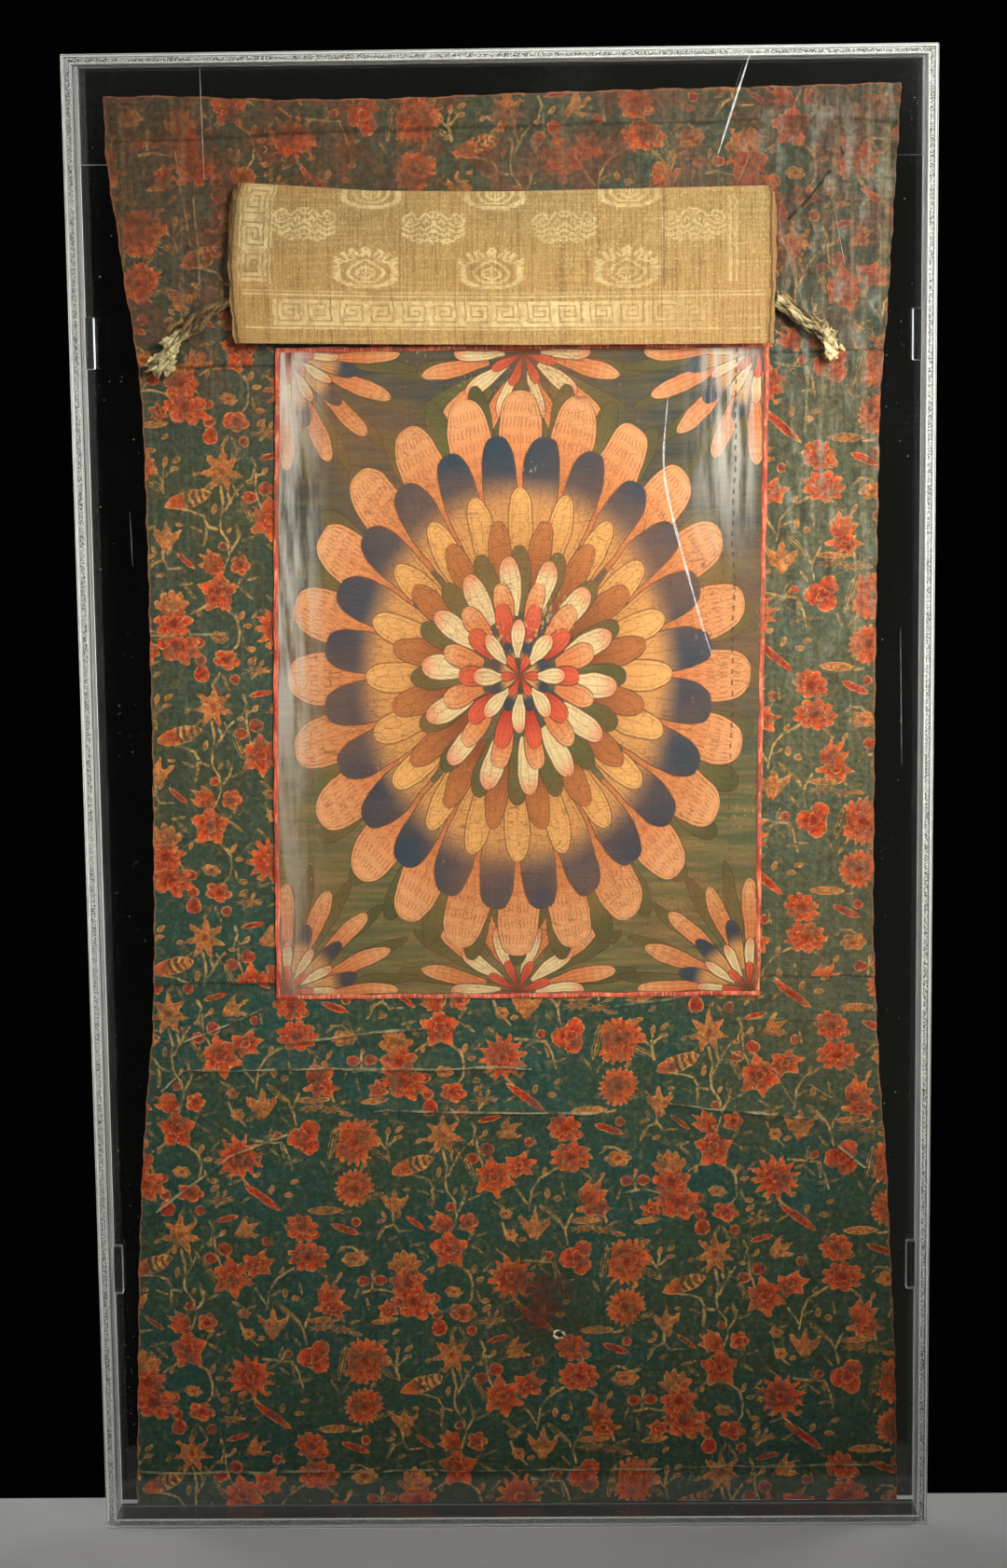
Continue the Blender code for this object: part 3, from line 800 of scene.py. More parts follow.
def lay_lines(piece, name, lines, reach=0.009):
    """Each face's corners get their distance across its nearest line and past its end, and its strength."""
    centres, corners = faces_of(piece)
    nearest = np.full(len(centres), reach)
    spot = np.full((len(centres), 4, 3), 0.05)
    for x0, z0, x1, z1, strength in lines:
        middle = np.array([(x0 + x1) / 2, (z0 + z1) / 2])
        half = math.hypot(x1 - x0, z1 - z0) / 2
        near = np.flatnonzero(np.abs(centres - middle).max(axis=1) < half + reach)
        if not len(near):
            continue
        distance = distance_to_line(centres[near, 0], centres[near, 1], x0, z0, x1, z1)
        won = near[distance < nearest[near]]
        nearest[won] = distance[distance < nearest[near]]
        way = np.array([x1 - x0, z1 - z0]) / (2 * half)
        offset = corners[won] - np.array([x0, z0])
        along = offset @ way
        across = offset @ np.array([-way[1], way[0]])
        past = np.maximum(np.maximum(-along, along - 2 * half), 0)
        spot[won] = np.stack([across, past, np.full_like(across, strength)], -1)
    put_attribute(piece.data, name, "FLOAT_VECTOR", "CORNER", spot)


def stem_lines(layout, low, high):
    lines = []
    for star in repeats(layout, low, high):
        for stem in STEMS:
            points = np.array(stem, dtype=float) * (STEP, -STEP)
            fine = [points[0]]
            for a, b in zip(points[:-1], points[1:]):
                fine += [a + (b - a) * 0.5, b]
            points = turned(np.array(fine), layout.lean) + star
            thick = np.linspace(1.0, 0.65, len(points))
            for (x0, z0), (x1, z1), share in zip(points[:-1], points[1:], thick):
                lines.append((x0, z0, x1, z1, share))
    return lines


# %% [markdown]
# Hem lines, seams and worn creases are short tables of straight runs. A strength above zero is a pale line,
# where the print is worn off a ridge, with a painted shadow along one side. One below zero is a dark line:
# the dark joint of seams and hems, and painted shade where it follows a trough.

# %% Seams, hems and worn creases
def run_of(points, strength):
    return [(*a, *b, strength) for a, b in zip(points[:-1], points[1:])]


TOP_HEM_LINE = (
    (-0.2553, 0.9269), (-0.203, 0.9265), (-0.142, 0.9302), (-0.052, 0.932), (0.098, 0.9342), (0.182, 0.9355),
    (0.203, 0.937), (0.236, 0.9348), (0.2556, 0.9322),
)
WORN_AND_SHADED_LINES = [(*crease[:4], 1.0) for crease in CREASES]
WORN_AND_SHADED_LINES += [(*crease[:4], 0.55) for crease in FINE_CREASES[:3] + FINE_CREASES[4:5] + FINE_CREASES[-1:]]
WORN_AND_SHADED_LINES += [(*crease[:4], 0.4) for crease in FINE_CREASES[5:11]]
WORN_AND_SHADED_LINES += [(0.1856, 0.8723, 0.212, 0.9021, -0.9), (0.15, 0.89, 0.16, 0.912, 0.35)]
WORN_AND_SHADED_LINES += run_of(((-0.2602, 0.03), (0.0, 0.0302), (0.2602, 0.0333)), 0.75)
DARK_LINES = run_of(TOP_HEM_LINE, -0.4)
DARK_LINES += [(-0.2366, 0.7813, 0.2476, 0.7886, -0.55), (-0.239, 0.3717, 0.243, 0.3737, -0.45)]
print("worn creases:", len(WORN_AND_SHADED_LINES), "seams and hems:", len(DARK_LINES))

# %% [markdown]
# The finish goes from the ground up: green cotton, thin brown stems, small leaves and buds, then the large
# flowers. Light and dust have bleached the top, and rubbed patches show the bare threads. High up and down
# the right side a painted haze also stands for the front panel's reflection and the brighter light there, and
# the folds on the right carry painted highlights and shade.

# %% Printed cotton finish
HOLE = (0.0303, 0.1268)


def blurred(net, place, layer, z):
    """The map of a layer of figures, with ragged edges where the print has run, high on the cloth."""
    u, v, _ = net.split(net.uv(layer))
    run = band(z, 0.66, 0.86, 0, 0.9)
    u = u + (noise(place, 150, 5, (1, 1, 6)) - 0.5) * run
    return net.join(u, v + (noise(place, 150, 5, (8, 5, 6)) - 0.5) * run)


def printed_cotton():
    net = new_finish("printed_cotton", 0.82, Sheen_Weight=0.02, Specular_IOR_Level=0.16)
    place = net.place()
    x, _, z = net.split(place)
    weave = net.group(WEAVE, {"Place": place, "Thread": 0.00042})
    blotch = noise(place, 11, 3)
    ground = shade(band(blotch - x * 0.25, 0.38, 0.64), (48, 67, 51), (38, 70, 61))
    murk = noise(place, 60, 4, (5, 2, 1))
    ground = ground.under(band(murk, 0.44, 0.66, 0, 0.36), 56, 62, 43)
    # Painted light: the right side is paler, where the key lamp falls brighter.
    right_side_painted_light = band(x, 0.1, 0.2, 0, 0.17) * band(z, 0.22, 0.38) * band(z, 0.84, 0.7)
    ground = ground.under(right_side_painted_light, 148, 120, 82)
    flecks = band(noise(place, 190, 3, (3, 8, 5)), 0.57, 0.62, 0, 0.32)
    ground = ground.under(flecks, 122, 94, 52)
    ground = ground.under(band(z, 0.4, 0.52, 0, 0.24) * band(x, 0.05, -0.1), 86, 62, 34)
    ground = ground.under(band(z, 0.1, 0, 0, 0.35), 46, 50, 34)

    stem_x, stem_y, stem_size = net.split(net.field("stem", "Vector"))
    wander = (noise(place, 120, 2, (6, 6, 2)) - 0.5) * 0.0022
    away = ((stem_x + wander) * (stem_x + wander) + stem_y * stem_y) ** 0.5
    on_stem = band(away, stem_size * 0.00045, stem_size * 0.00138, 1, 0)
    faint = band(noise(place, 110, 3, (1, 8, 3)), 0.38, 0.58, 0.25, 0.9)
    stem_hue = shade(noise(place, 160, 2), (140, 96, 48), (206, 166, 104))
    cloth = net.mix(on_stem * faint, ground, stem_hue)

    for layer, strength in (("sprig", 0.8), ("bloom", 0.96)):
        form, tone = (net.field(layer + ending, "Vector") for ending in ("_form", "_tone"))
        values = {"Place": place, "Local": blurred(net, place, layer, z), "Form": form, "Tone": tone}
        drawn = net.group(FIGURE, values | {"Size": net.field(layer + "_size")})
        patchy = band(noise(place, 95, 4, (2, 4, 9)), 0.34, 0.58, 0.45, 1)
        cloth = net.mix(drawn["Cover"] * patchy * strength, cloth, drawn["Ink"])

    high = band(z, 0.7, 0.9)
    bleed = band(noise(place, 42, 5, (9, 9, 4)), 0.46, 0.6, 0, 0.55) * high
    cloth = cloth.under(bleed, 108, 46, 30)
    dulled = band(noise(place, 64, 5, (4, 1, 1)), 0.48, 0.62, 0, 0.65) * high
    cloth = cloth.under(most(dulled, band(x, 0.1, 0.18, 0, 0.32) * high), 62, 56, 44)

    from_stain = ((x - 0.018) ** 2.0 + ((z - 0.148) * 0.8) ** 2.0) ** 0.5
    ragged = from_stain + noise(place, 45, 3) * 0.035
    cloth = cloth.under(band(ragged, 0.022, 0.06, 0.62, 0), 50, 50, 36)
    bled = band(from_stain + noise(place, 70, 2, (7, 1, 4)) * 0.06, 0.03, 0.05, 0.45, 0)
    cloth = cloth.under(bled, 104, 32, 22)

    streak = streaks(place, (210, 210, 7), 3)
    # High up the print is faded, and this grey-brown mix is also a painted haze of the front panel's
    # reflection.
    faded_and_painted_haze = high * band(streak * 0.5 + blotch * 0.5, 0.38, 0.68, 0.1, 0.62)
    cloth = net.mix(faded_and_painted_haze * 0.9, cloth, shade(band(x, -0.1, 0.16), (96, 66, 44), (94, 73, 56)))
    # Pale streaks, strongest high up and to the right: partly dust, partly a painted haze of reflection and
    # light.
    side = band(abs(x - 0.02), 0.15, 0.24) * band(z, 0.3, 0.55)
    dust_and_painted_haze = band(z, 0.62, 0.34, 1, 0.25) * band(x, -0.1, 0.1, 0.45, 1)
    dust_and_painted_haze = dust_and_painted_haze * band(streak, 0.5, 0.74, 0, 0.42) * (side * 0.7 + 0.3)
    cloth = cloth.under(dust_and_painted_haze, 142, 132, 98)
    rubbed = net.group(RUBBED, {"Place": place, "Amount": 0.34})["Mask"]
    cloth = cloth.under(rubbed * 0.5, 140, 112, 72)

    for name, width, pale, dark in (
        ("crease", 0.00075, tint(158, 150, 112), tint(22, 26, 20)),
        ("seam", 0.00085, tint(158, 128, 84), tint(22, 20, 14)),
    ):
        across, past, strength = net.split(net.field(name, "Vector"))
        across = across + (noise(place, 26, 4, (2, 2, 8)) - 0.5) * 0.006
        away = (across * across + past * past) ** 0.5
        width = noise(place, 50, 2, (5, 3, 8)) * (width * 2.6)
        is_known = away < 0.03
        # Painted shadow along one side of each worn crease.
        shaded = band(across, -0.003, -0.0004) * band(across, 0, 0.0006, 1, 0)
        shaded = shaded * band(past, 0, 0.002, 1, 0)
        cloth = net.mix(shaded * is_known * most(strength, 0.0) * 0.55, cloth, dark)
        sunk = band(away, width * 0.4, width * 1.5, 1, 0) * most(strength * -1.0, 0)
        cloth = net.mix(sunk * is_known, cloth, dark)
        broken = band(noise(place, 85, 3, (3, 3, 1)), 0.36, 0.62, 0.12, 1)
        cloth = net.mix(line(away, width, 0.85) * broken * is_known * most(strength, 0), cloth, pale)

    across, up = x - HOLE[0], (z - HOLE[1]) * 1.3
    from_hole = (across * across + up * up) ** 0.5 + noise(place, 260, 3) * 0.0034
    pale_rim = band(from_hole, 0.0054, 0.0064, 0.9, 0) * band(noise(place, 210), 0.38, 0.52)
    cloth = cloth.under(pale_rim, 244, 228, 192)
    cloth = cloth.under(band(from_hole, 0.0038, 0.0046, 0.95, 0), 16, 12, 10)
    frayed = net.field("rim") - noise(place, 160) * 0.0016
    cloth = cloth.under(band(frayed, -0.0003, 0.0004, 0.6, 0), 150, 92, 60)
    # On the right the folds shine: the pale streaks are painted highlights, the dark ones painted shade in
    # hollows.
    shiny = band(x, 0.12, 0.2) * band(z, 0.45, 0.72)
    folds = streaks(place, (110, 110, 38), 4, (3, 1, 2))
    cloth = cloth.under(shiny * band(folds, 0.52, 0.68, 0, 0.5), 128, 128, 116)
    cloth = cloth.under(shiny * band(folds, 0.46, 0.34, 0, 0.6), 44, 38, 30)
    # The grain is painted light and shade of fine crumples; the slubs with it are the threads' own
    # unevenness.
    grain = band(noise(place, 330, 3, (8, 8, 3)), 0.32, 0.68, 0.76, 1.22)
    cloth = net.lit(cloth, (weave["Slub"] * 0.8 + 0.6) * grain)
    bare = net.mix(weave["Slub"] * 0.5, net.mix(0.72, cloth, tint(124, 108, 80)), tint(96, 82, 60))
    crumple = streaks(place, (42, 42, 110), 4) + folds * shiny
    soft = net.relief(crumple, 0.002, 0.65)
    return net.coat(
        net.mix(band(net.facing(), 0.1, 0.4), cloth, bare),
        band(streak, 0.3, 0.8, 0.86, 0.66) - shiny * 0.2,
        net.relief(weave["Height"], 0.00012, 0.8, soft),
    )


PRINTED_COTTON = printed_cotton()

# %% [markdown]
# ## The four mount panels
#
# The top and bottom panels end in a pocket hem, where the cloth is doubled for a rod. The side panels run
# between them and reach a little way behind the painting. Sewn cloth has no slits, so the edges nearly meet.

# %% Mount panels
SCENE_SEAM = 0.00006
SINGLE_THICKNESS = 0.0006


def into_hem(z):
    return np.clip(np.maximum(z - TOP_HEM_Z, BOTTOM_HEM_Z - z) / HEM_RAMP, 0, 1)


def hem_share(x, z):
    """Full thickness in the pocket hems, and a single cloth elsewhere."""
    single = SINGLE_THICKNESS / HEM_THICKNESS
    return single + (1 - single) * into_hem(z)


def mount_front(x, z):
    return CLOTH_BACK_Y - drape(x, z) - MOUNT_THICKNESS - (HEM_THICKNESS - MOUNT_THICKNESS) * into_hem(z)


def side_edge(z, side):
    """The mount's cut edge, a little uneven."""
    uneven = 0.00035 * np.sin(210 * z) + 0.00022 * np.sin(531 * z + 1.0)
    return table_column(z, MOUNT_EDGES, side) + uneven * (1 if side == "left" else -1)


def painting_side(z, side, inset):
    return table_column(z, PAINTING_EDGES, side) + (inset if side == "left" else -inset)


def top_panel(u, v):
    rough_z = UPPER_SEAM[0].height + (MOUNT_RIM[0].height - UPPER_SEAM[0].height) * v
    x = side_edge(rough_z, "left") * (1 - u) + side_edge(rough_z, "right") * u
    foot = seam_height(x, UPPER_SEAM) + SCENE_SEAM / 2
    rim = table_column(x, MOUNT_RIM, "height") + 0.0004 * np.sin(190 * x) + 0.0002 * np.sin(620 * x)
    z = foot + (rim - foot) * v
    return x, mount_front(x, z), z


def bottom_panel(u, v):
    rough_z = MOUNT_FOOT + (LOWER_SEAM[0].height - MOUNT_FOOT) * v
    x = side_edge(rough_z, "left") * (1 - u) + side_edge(rough_z, "right") * u
    foot = MOUNT_FOOT + 0.0008 * np.sin(9 * x + 0.5) - 0.0004 + 0.00025 * np.sin(170 * x)
    z = foot + (seam_height(x, LOWER_SEAM) - SCENE_SEAM / 2 - foot) * v
    return x, mount_front(x, z), z


def side_panel(side):
    def panel(u, v):
        z = LOWER_SEAM[0].height + (UPPER_SEAM[0].height - LOWER_SEAM[0].height) * v
        ends = side_edge(z, side), painting_side(z, side, MOUNT_OVERLAP)
        left, right = np.minimum(*ends), np.maximum(*ends)
        x = left * (1 - u) + right * u
        low = seam_height(x, LOWER_SEAM) + SCENE_SEAM / 2
        high = seam_height(x, UPPER_SEAM) - SCENE_SEAM / 2
        z = low * (1 - v) + high * v
        return x, mount_front(x, z), z

    return panel


def print_panel(piece, layout):
    centres, _ = faces_of(piece)
    lay_figures(piece, "bloom", BLOOMS, layout)
    lay_figures(piece, "sprig", SPRIGS, layout)
    lay_lines(piece, "stem", stem_lines(layout, centres.min(axis=0), centres.max(axis=0)))
    lay_lines(piece, "crease", WORN_AND_SHADED_LINES)
    lay_lines(piece, "seam", DARK_LINES)
    x, _, z = points_of(piece.data).T
    rim = np.minimum(x - side_edge(z, "left"), side_edge(z, "right") - x)
    rim = np.minimum(rim, table_column(x, MOUNT_RIM, "height") - z)
    put_attribute(piece.data, "rim", "FLOAT", "POINT", rim)


CELL = 0.0023
PANELS = {
    "mount_top": (top_panel, 0.512, 0.172, hem_share),
    "mount_bottom": (bottom_panel, 0.521, 0.364, hem_share),
    "mount_left": (side_panel("left"), 0.094, 0.41, None),
    "mount_right": (side_panel("right"), 0.084, 0.412, None),
}
for node, (place, width, height, fullness) in PANELS.items():
    thickness = HEM_THICKNESS if fullness else SINGLE_THICKNESS
    cells = round(width / CELL), round(height / CELL)
    panel = cloth_sheet("printed_" + node, *cells, place, thickness, fullness)
    print_panel(panel, LAYOUTS[node])
    dress(panel, PRINTED_COTTON, "printed_cotton", node)
    print(panel.name, len(panel.data.polygons), "faces")

# %% [markdown]
# ## The painted panel
#
# The painting is pigment in glue on primed cotton, cracked and rubbed by rolling. Its field is filled with
# flower ornament: rings of petals inside each other, and part flowers in the corners and at both ends.

# %% Petal ring group
def petal_group():
    takes = "Flat:vector Petals Turn Inner Outer Width Tip"
    net, given, out = new_group("petal_ring", takes, "Mask Line Along Across")
    u, v, _ = net.split(given["Flat"])
    reach = (u * u + v * v) ** 0.5
    pitch = math.tau / given["Petals"]
    count = (net.math("ARCTAN2", v, u) + given["Turn"]) / pitch + 100.5
    across = net.math("FRACT", count) - 0.5
    along = (reach - given["Inner"]) / (given["Outer"] - given["Inner"])
    root = most(along + 0.18, 0.001) ** 0.45
    half = most(1.0 - along, 0.0) ** given["Tip"] * root * given["Width"] * 0.5
    room = (half - abs(across)) * pitch * reach
    on = (along > 0.0) * (along < 1.0)
    net.feed(out["Mask"], band(room, -0.0003, 0.0003) * on)
    outline = band(abs(room), 0.0002, 0.0007, 1, 0)
    inner_line = line(room - 0.0022, 0.0005, 0.45)
    vein = line(across * pitch * reach, 0.0005, 0.4) * (along < 0.8)
    net.feed(out["Line"], most(outline, inner_line, vein) * on)
    net.feed(out["Along"], along)
    net.feed(out["Across"], across / most(half, 0.01))
    return net.tree


PETALS = petal_group()
CANVAS_WIDTH, CANVAS_HEIGHT = 0.314, 0.426
CANVAS_THICKNESS = 0.0007
OVAL = 1.24

# %% [markdown]
# The colours follow old mineral pigments: malachite, azurite, ochre, shell white and vermilion, under a brown
# veil of smoke. Cracks run mostly level, and pale glare lies along the left edge and high on the right.

# %% Painted finish
Ring = namedtuple("Ring", "centre petals turn inner outer width tip colour")
RINGS = rows_of(Ring, (
    ("end", 18, 0.17, 0.03, 0.08, 0.9, 0.6, "moss"),
    ("end", 14, 0.22, 0.022, 0.066, 0.95, 0.55, "peach"),
    ("end", 10, 0.0, 0.012, 0.044, 0.92, 0.5, "cream"), ("end", 8, 0.3, 0.0, 0.022, 0.95, 0.45, "coral"),
    ("corner", 20, 0.2, 0.034, 0.088, 0.85, 0.7, "moss"),
    ("corner", 16, 0.0, 0.026, 0.074, 0.95, 0.5, "peach"),
    ("corner", 12, 0.3, 0.014, 0.048, 0.95, 0.5, "azure"),
    ("corner", 12, 0.0, 0.01, 0.034, 0.95, 0.5, "cream"),
    ("corner", 8, 0.0, 0.0, 0.018, 0.95, 0.45, "coral"),
    ("oval", 32, 0.0, 0.12, 0.1565, 0.95, 0.5, "moss"),
    ("oval", 24, 0.0, 0.08, 0.151, 1.35, 0.36, "peach"),
    ("oval", 24, math.pi / 24, 0.06, 0.127, 1.35, 0.36, "azure"),
    ("oval", 20, 0.0, 0.05, 0.1, 1.1, 0.45, "gold"),
    ("oval", 16, 0.2, 0.04, 0.084, 1.0, 0.5, "ochre"), ("oval", 16, 0.0, 0.034, 0.07, 1.0, 0.45, "moss"),
    ("oval", 14, 0.1, 0.032, 0.064, 1.0, 0.45, "cream"),
    ("oval", 12, math.pi / 12, 0.024, 0.051, 1.0, 0.45, "peach"),
    ("oval", 10, 0.0, 0.016, 0.04, 0.95, 0.45, "coral"),
    ("oval", 8, 0.0, 0.01, 0.03, 0.95, 0.5, "cream"),
    ("oval", 8, math.pi / 8, 0.0, 0.02, 0.95, 0.45, "azure"),
    ("oval", 6, 0.0, 0.0, 0.012, 0.95, 0.4, "coral"),
))


def fading(start, end, low, high):
    """A petal colour that goes over into another one from the petal's foot to its tip."""
    return lambda drawn: shade(band(drawn["Along"], low, high), start, end)


def painted_cloth():
    net = new_finish("painted_cloth", 0.6, Specular_IOR_Level=0.3)
    place = net.place()
    u, v, _ = net.split(net.uv("canvas"))
    u = u + (noise(place, 28) - 0.5) * 0.006
    v = v + (noise(place, 33, 2, (1, 5, 2)) - 0.5) * 0.005
    end_v = abs(v) - (CANVAS_HEIGHT / 2 - 0.002)
    flats = {
        "oval": net.join(u, v / OVAL),
        "corner": net.join(abs(u) - (CANVAS_WIDTH / 2 - 0.004), end_v),
        "end": net.join(u, end_v),
    }
    ink = tint(70, 44, 28)

    brush = streaks(place, (22, 22, 240), 3)
    upper = shade(band(brush, 0.35, 0.7), (40, 62, 62), (80, 80, 60))
    lower = shade(band(brush, 0.35, 0.7), (74, 92, 60), (128, 112, 70))
    cloth = net.mix(band(v, 0.02, -0.1), upper, lower)

    def peach(drawn):
        skin = fading((214, 130, 76), (228, 164, 112), 0.35, 1.0)(drawn)
        dash = band(net.sin(drawn["Across"] * 34 + brush * 9), 0.35, 0.75)
        broken = band(net.sin(drawn["Along"] * 52), -0.5, 0.1)
        return skin.under(dash * broken * 0.6, 164, 88, 58)

    colours = {
        "peach": peach,
        "azure": fading((210, 152, 90), (12, 58, 80), 0.4, 0.74),
        "cream": fading((228, 204, 156), (226, 150, 116), 0.62, 1.0),
        "gold": fading((204, 144, 80), (232, 176, 106), 0.1, 0.9),
        "ochre": fading((128, 66, 30), (176, 106, 54), 0.1, 0.9),
        "moss": fading((92, 96, 50), (74, 82, 44), 0.1, 0.9),
        "coral": fading((176, 44, 30), (208, 84, 54), 0.1, 0.9),
    }
    for row in RINGS:
        values = {label: getattr(row, label.lower()) for label in "Petals Turn Inner Outer Width Tip".split()}
        drawn = net.group(PETALS, {"Flat": flats[row.centre], **values})
        cloth = net.mix(drawn["Mask"], cloth, colours[row.colour](drawn))
        cloth = net.mix(drawn["Line"] * 0.75, cloth, ink)

    to_side = least(CANVAS_WIDTH / 2 - abs(u), CANVAS_HEIGHT / 2 - abs(v))
    cloth = cloth.under(band(to_side, 0.0003, 0.001, 0.8, 0), 110, 60, 40)
    grime = noise(place, 10, 3, (4, 4, 4))
    cloth = cloth.under(band(grime, 0.38, 0.7, 0.05, 0.34), 168, 110, 58)
    crack_place = net.scaled(place, (130, 130, 330))
    crack = net.out("ShaderNodeTexVoronoi", {"Vector": crack_place, "Scale": 1.0}, feature="DISTANCE_TO_EDGE")
    cracked = band(crack, 0, 0.05, 1, 0) * band(grime, 0.35, 0.6, 0.2, 0.65)
    cloth = cloth.under(cracked, 92, 60, 36)
    flaked = net.group(RUBBED, {"Place": place, "Amount": 0.38})["Mask"]
    cloth = cloth.under(flaked * 0.55, 206, 176, 132)
    streak = streaks(place, (110, 110, 14), 4, (9, 1, 3))
    left = band(u, -0.122, -0.154) * band(v, -0.1, 0.05, 0.35, 1)
    right = band(u, 0.1, 0.132) * band(v, 0.05, 0.17) * band(u, 0.157, 0.146)
    patch = most(left, right) * band(streak, 0.34, 0.6)
    cloth = cloth.under(patch * 0.8, 206, 206, 204)
    stitch = line(u - 0.139, 0.0009, 0.75) * band(net.sin(v * 900), -0.2, 0.2)
    cloth = cloth.under(stitch * band(v, -0.2, 0, 0.2, 1), 66, 46, 34)

    weave = net.group(WEAVE, {"Place": place, "Thread": 0.00050})
    varnished = net.mix(1.0, cloth, (0.78, 0.74, 0.66, 1), "MULTIPLY")
    cloth = net.lit(varnished, weave["Slub"] * 0.6 + 0.7)
    bare = shade(weave["Slub"], (136, 116, 84), (104, 86, 60))
    soft = net.relief(streaks(place, (30, 30, 120), 4), 0.0011, 0.5)
    soft = net.relief(band(crack, 0, 0.08), 0.00012, 0.5, soft)
    return net.coat(
        net.mix(band(net.facing(), 0.1, 0.4), cloth, bare),
        band(grime, 0.3, 0.7, 0.52, 0.72),
        net.relief(weave["Height"], 0.0001, 0.5, soft),
    )


# %% The painted panel
def canvas_front(low_inset, side_inset):
    top, bottom = PAINTING_EDGES[0].height, PAINTING_EDGES[-1].height

    def front(u, v):
        z = (bottom + low_inset) + (top - bottom - 2 * low_inset) * v
        x = painting_side(z, "left", side_inset) * (1 - u) + painting_side(z, "right", side_inset) * u
        return x, PAINTING_BACK_Y - drape(x, z) - PAINTING_THICKNESS, z

    return front


def add_canvas():
    inset = EDGING_WIDTH + 0.0001
    panel = cloth_sheet("painted_panel", 80, 106, canvas_front(inset, inset), CANVAS_THICKNESS)
    _, corners = faces_of(panel)
    x, z = corners[..., 0], corners[..., 1]
    left, right = painting_side(z, "left", inset), painting_side(z, "right", inset)
    top, bottom = PAINTING_EDGES[0].height - inset, PAINTING_EDGES[-1].height + inset
    u = ((x - left) / (right - left) - 0.5) * CANVAS_WIDTH
    v = ((z - bottom) / (top - bottom) - 0.5) * CANVAS_HEIGHT
    uv = panel.data.uv_layers.new(name="canvas")
    uv.uv.foreach_set("vector", np.stack([u, v], -1).astype(np.float32).ravel())
    dress(panel, painted_cloth(), "painted_cloth", "painting")
    return panel


painting = add_canvas()
print("painting:", len(painting.data.polygons), "faces")

# %% [markdown]
# ## The edging
#
# Narrow strips of red silk cover the painting's sewn edge. Each is folded over, so it stands up as a low
# round cord.

# %% Edging
def faded_silk():
    net = new_finish("faded_red_silk", 0.6, Sheen_Weight=0.1, Specular_IOR_Level=0.3)
    place = net.place()
    weave = net.group(WEAVE, {"Place": place, "Thread": 0.00035})
    patch = noise(place, 60, 3)
    silk = shade(band(patch, 0.35, 0.65), (168, 58, 40), (216, 104, 76))
    strand = streaks(place, (700, 700, 90), 4)
    silk = silk.under(band(strand, 0.5, 0.62, 0, 0.6), 118, 50, 34)
    silk = silk.under(band(strand, 0.46, 0.36, 0, 0.6), 226, 168, 118)
    worn = net.group(RUBBED, {"Place": place, "Amount": 0.62})["Mask"]
    silk = silk.under(worn * 0.75, 120, 76, 52)
    silk = net.lit(silk, weave["Slub"] * 0.44 + 0.78)
    return net.coat(silk, band(patch, 0.3, 0.7, 0.5, 0.7), net.relief(weave["Height"], 0.00012, 0.8))


EDGING_CROWN = 0.0003
SILK_THICKNESS = 0.0009


def edging_front(where):
    top, bottom = PAINTING_EDGES[0].height, PAINTING_EDGES[-1].height
    inset = EDGING_WIDTH

    def front(u, v):
        if where in ("top", "bottom"):
            z = (top - inset if where == "top" else bottom) + inset * v
            x = painting_side(z, "left", 0) * (1 - u) + painting_side(z, "right", 0) * u
            share = v
        else:
            z = bottom + inset + (top - bottom - 2 * inset) * v
            ends = painting_side(z, where, 0), painting_side(z, where, inset)
            x = np.minimum(*ends) * (1 - u) + np.maximum(*ends) * u
            share = u
        crown = EDGING_CROWN * (1 - (2 * share - 1) ** 2) + 0.00008 * np.sin(700 * (x + z))
        uneven = 0.00025 * np.sin(150 * (z if where in ("left", "right") else x))
        shifted = (x + uneven, z) if where in ("left", "right") else (x, z + uneven)
        return shifted[0], PAINTING_BACK_Y - drape(x, z) - PAINTING_THICKNESS - crown, shifted[1]

    return front


FADED_SILK = faded_silk()
for where, columns, rows in (("top", 128, 6), ("bottom", 128, 6), ("left", 6, 170), ("right", 6, 170)):
    strip = cloth_sheet("silk_edging_" + where, columns, rows, edging_front(where), SILK_THICKNESS)
    dress(strip, FADED_SILK, "red_silk", "edging_" + where)
    print(strip.name, "placed")

# %% [markdown]
# ## The folded veil
#
# The veil is a silk cover that is folded up above the painting. It is one cloth that runs down and up between
# its folds, and only its last layer is seen. The damask figures of that layer are charted below as a weaver
# would, one letter for each group of threads, and each face of the layer is one square of the chart.

# %% Damask charts
FRET = """
##############.##
##############.##
##..........##.##
##.########.##.##
##.########.##.##
##.##....##.##.##
##.##.#####.##.##
##.##.#####.##.##
##.##.......##.##
##.###########.##
##.###########.##
##.............##
#################
#################
""".split()
MEDALLION = """
................##
.........##....##.
........###....###
....##..##.##..###
....###..#..##.##.
.....###.##..#.#..
##....##..##.....#
.###...####....###
###.####.....###..
.####.......##....
..##......###....#
####.....##....###
.###....##...###.#
####...##...##...#
.###...##...##.#.#
####...##...##...#
.###....##...###.#
####.....##....###
.####.....###....#
..#####.....######
....######........
......############
..........########
""".split()
CLOUDY = """
...............###
....###.....###..#
..###.##...##.##.#
.##....#..##...###
##..##.####..#....
##.#.#......###..#
.#.###..##.##.#.##
.##...###...#...##
..#####...#...###.
##......####.##...
.###..###..###..##
...####..#.....###
##......###.###...
.####.###.###.#..#
...####........###
.....#..####.###..
......###..###.##.
.........###.....#
""".split()
VEIL_CELLS = 297
FRONT_ROWS = 84


def chart_of(rows):
    return np.array([[letter == "#" for letter in row] for row in rows], dtype=float)


def mirrored(half):
    return np.hstack([half, half[:, -2::-1]])


def stamp(chart, pattern, row, column, strength=1.0):
    """Puts a pattern on the chart with its lowest row at row. Rows count up from the hem."""
    pattern = pattern[::-1] * strength
    low, left = max(row, 0), max(column, 0)
    high, right = min(row + pattern.shape[0], FRONT_ROWS), min(column + pattern.shape[1], VEIL_CELLS)
    part = pattern[low - row : high - row, left - column : right - column]
    chart[low:high, left:right] = np.maximum(chart[low:high, left:right], part)


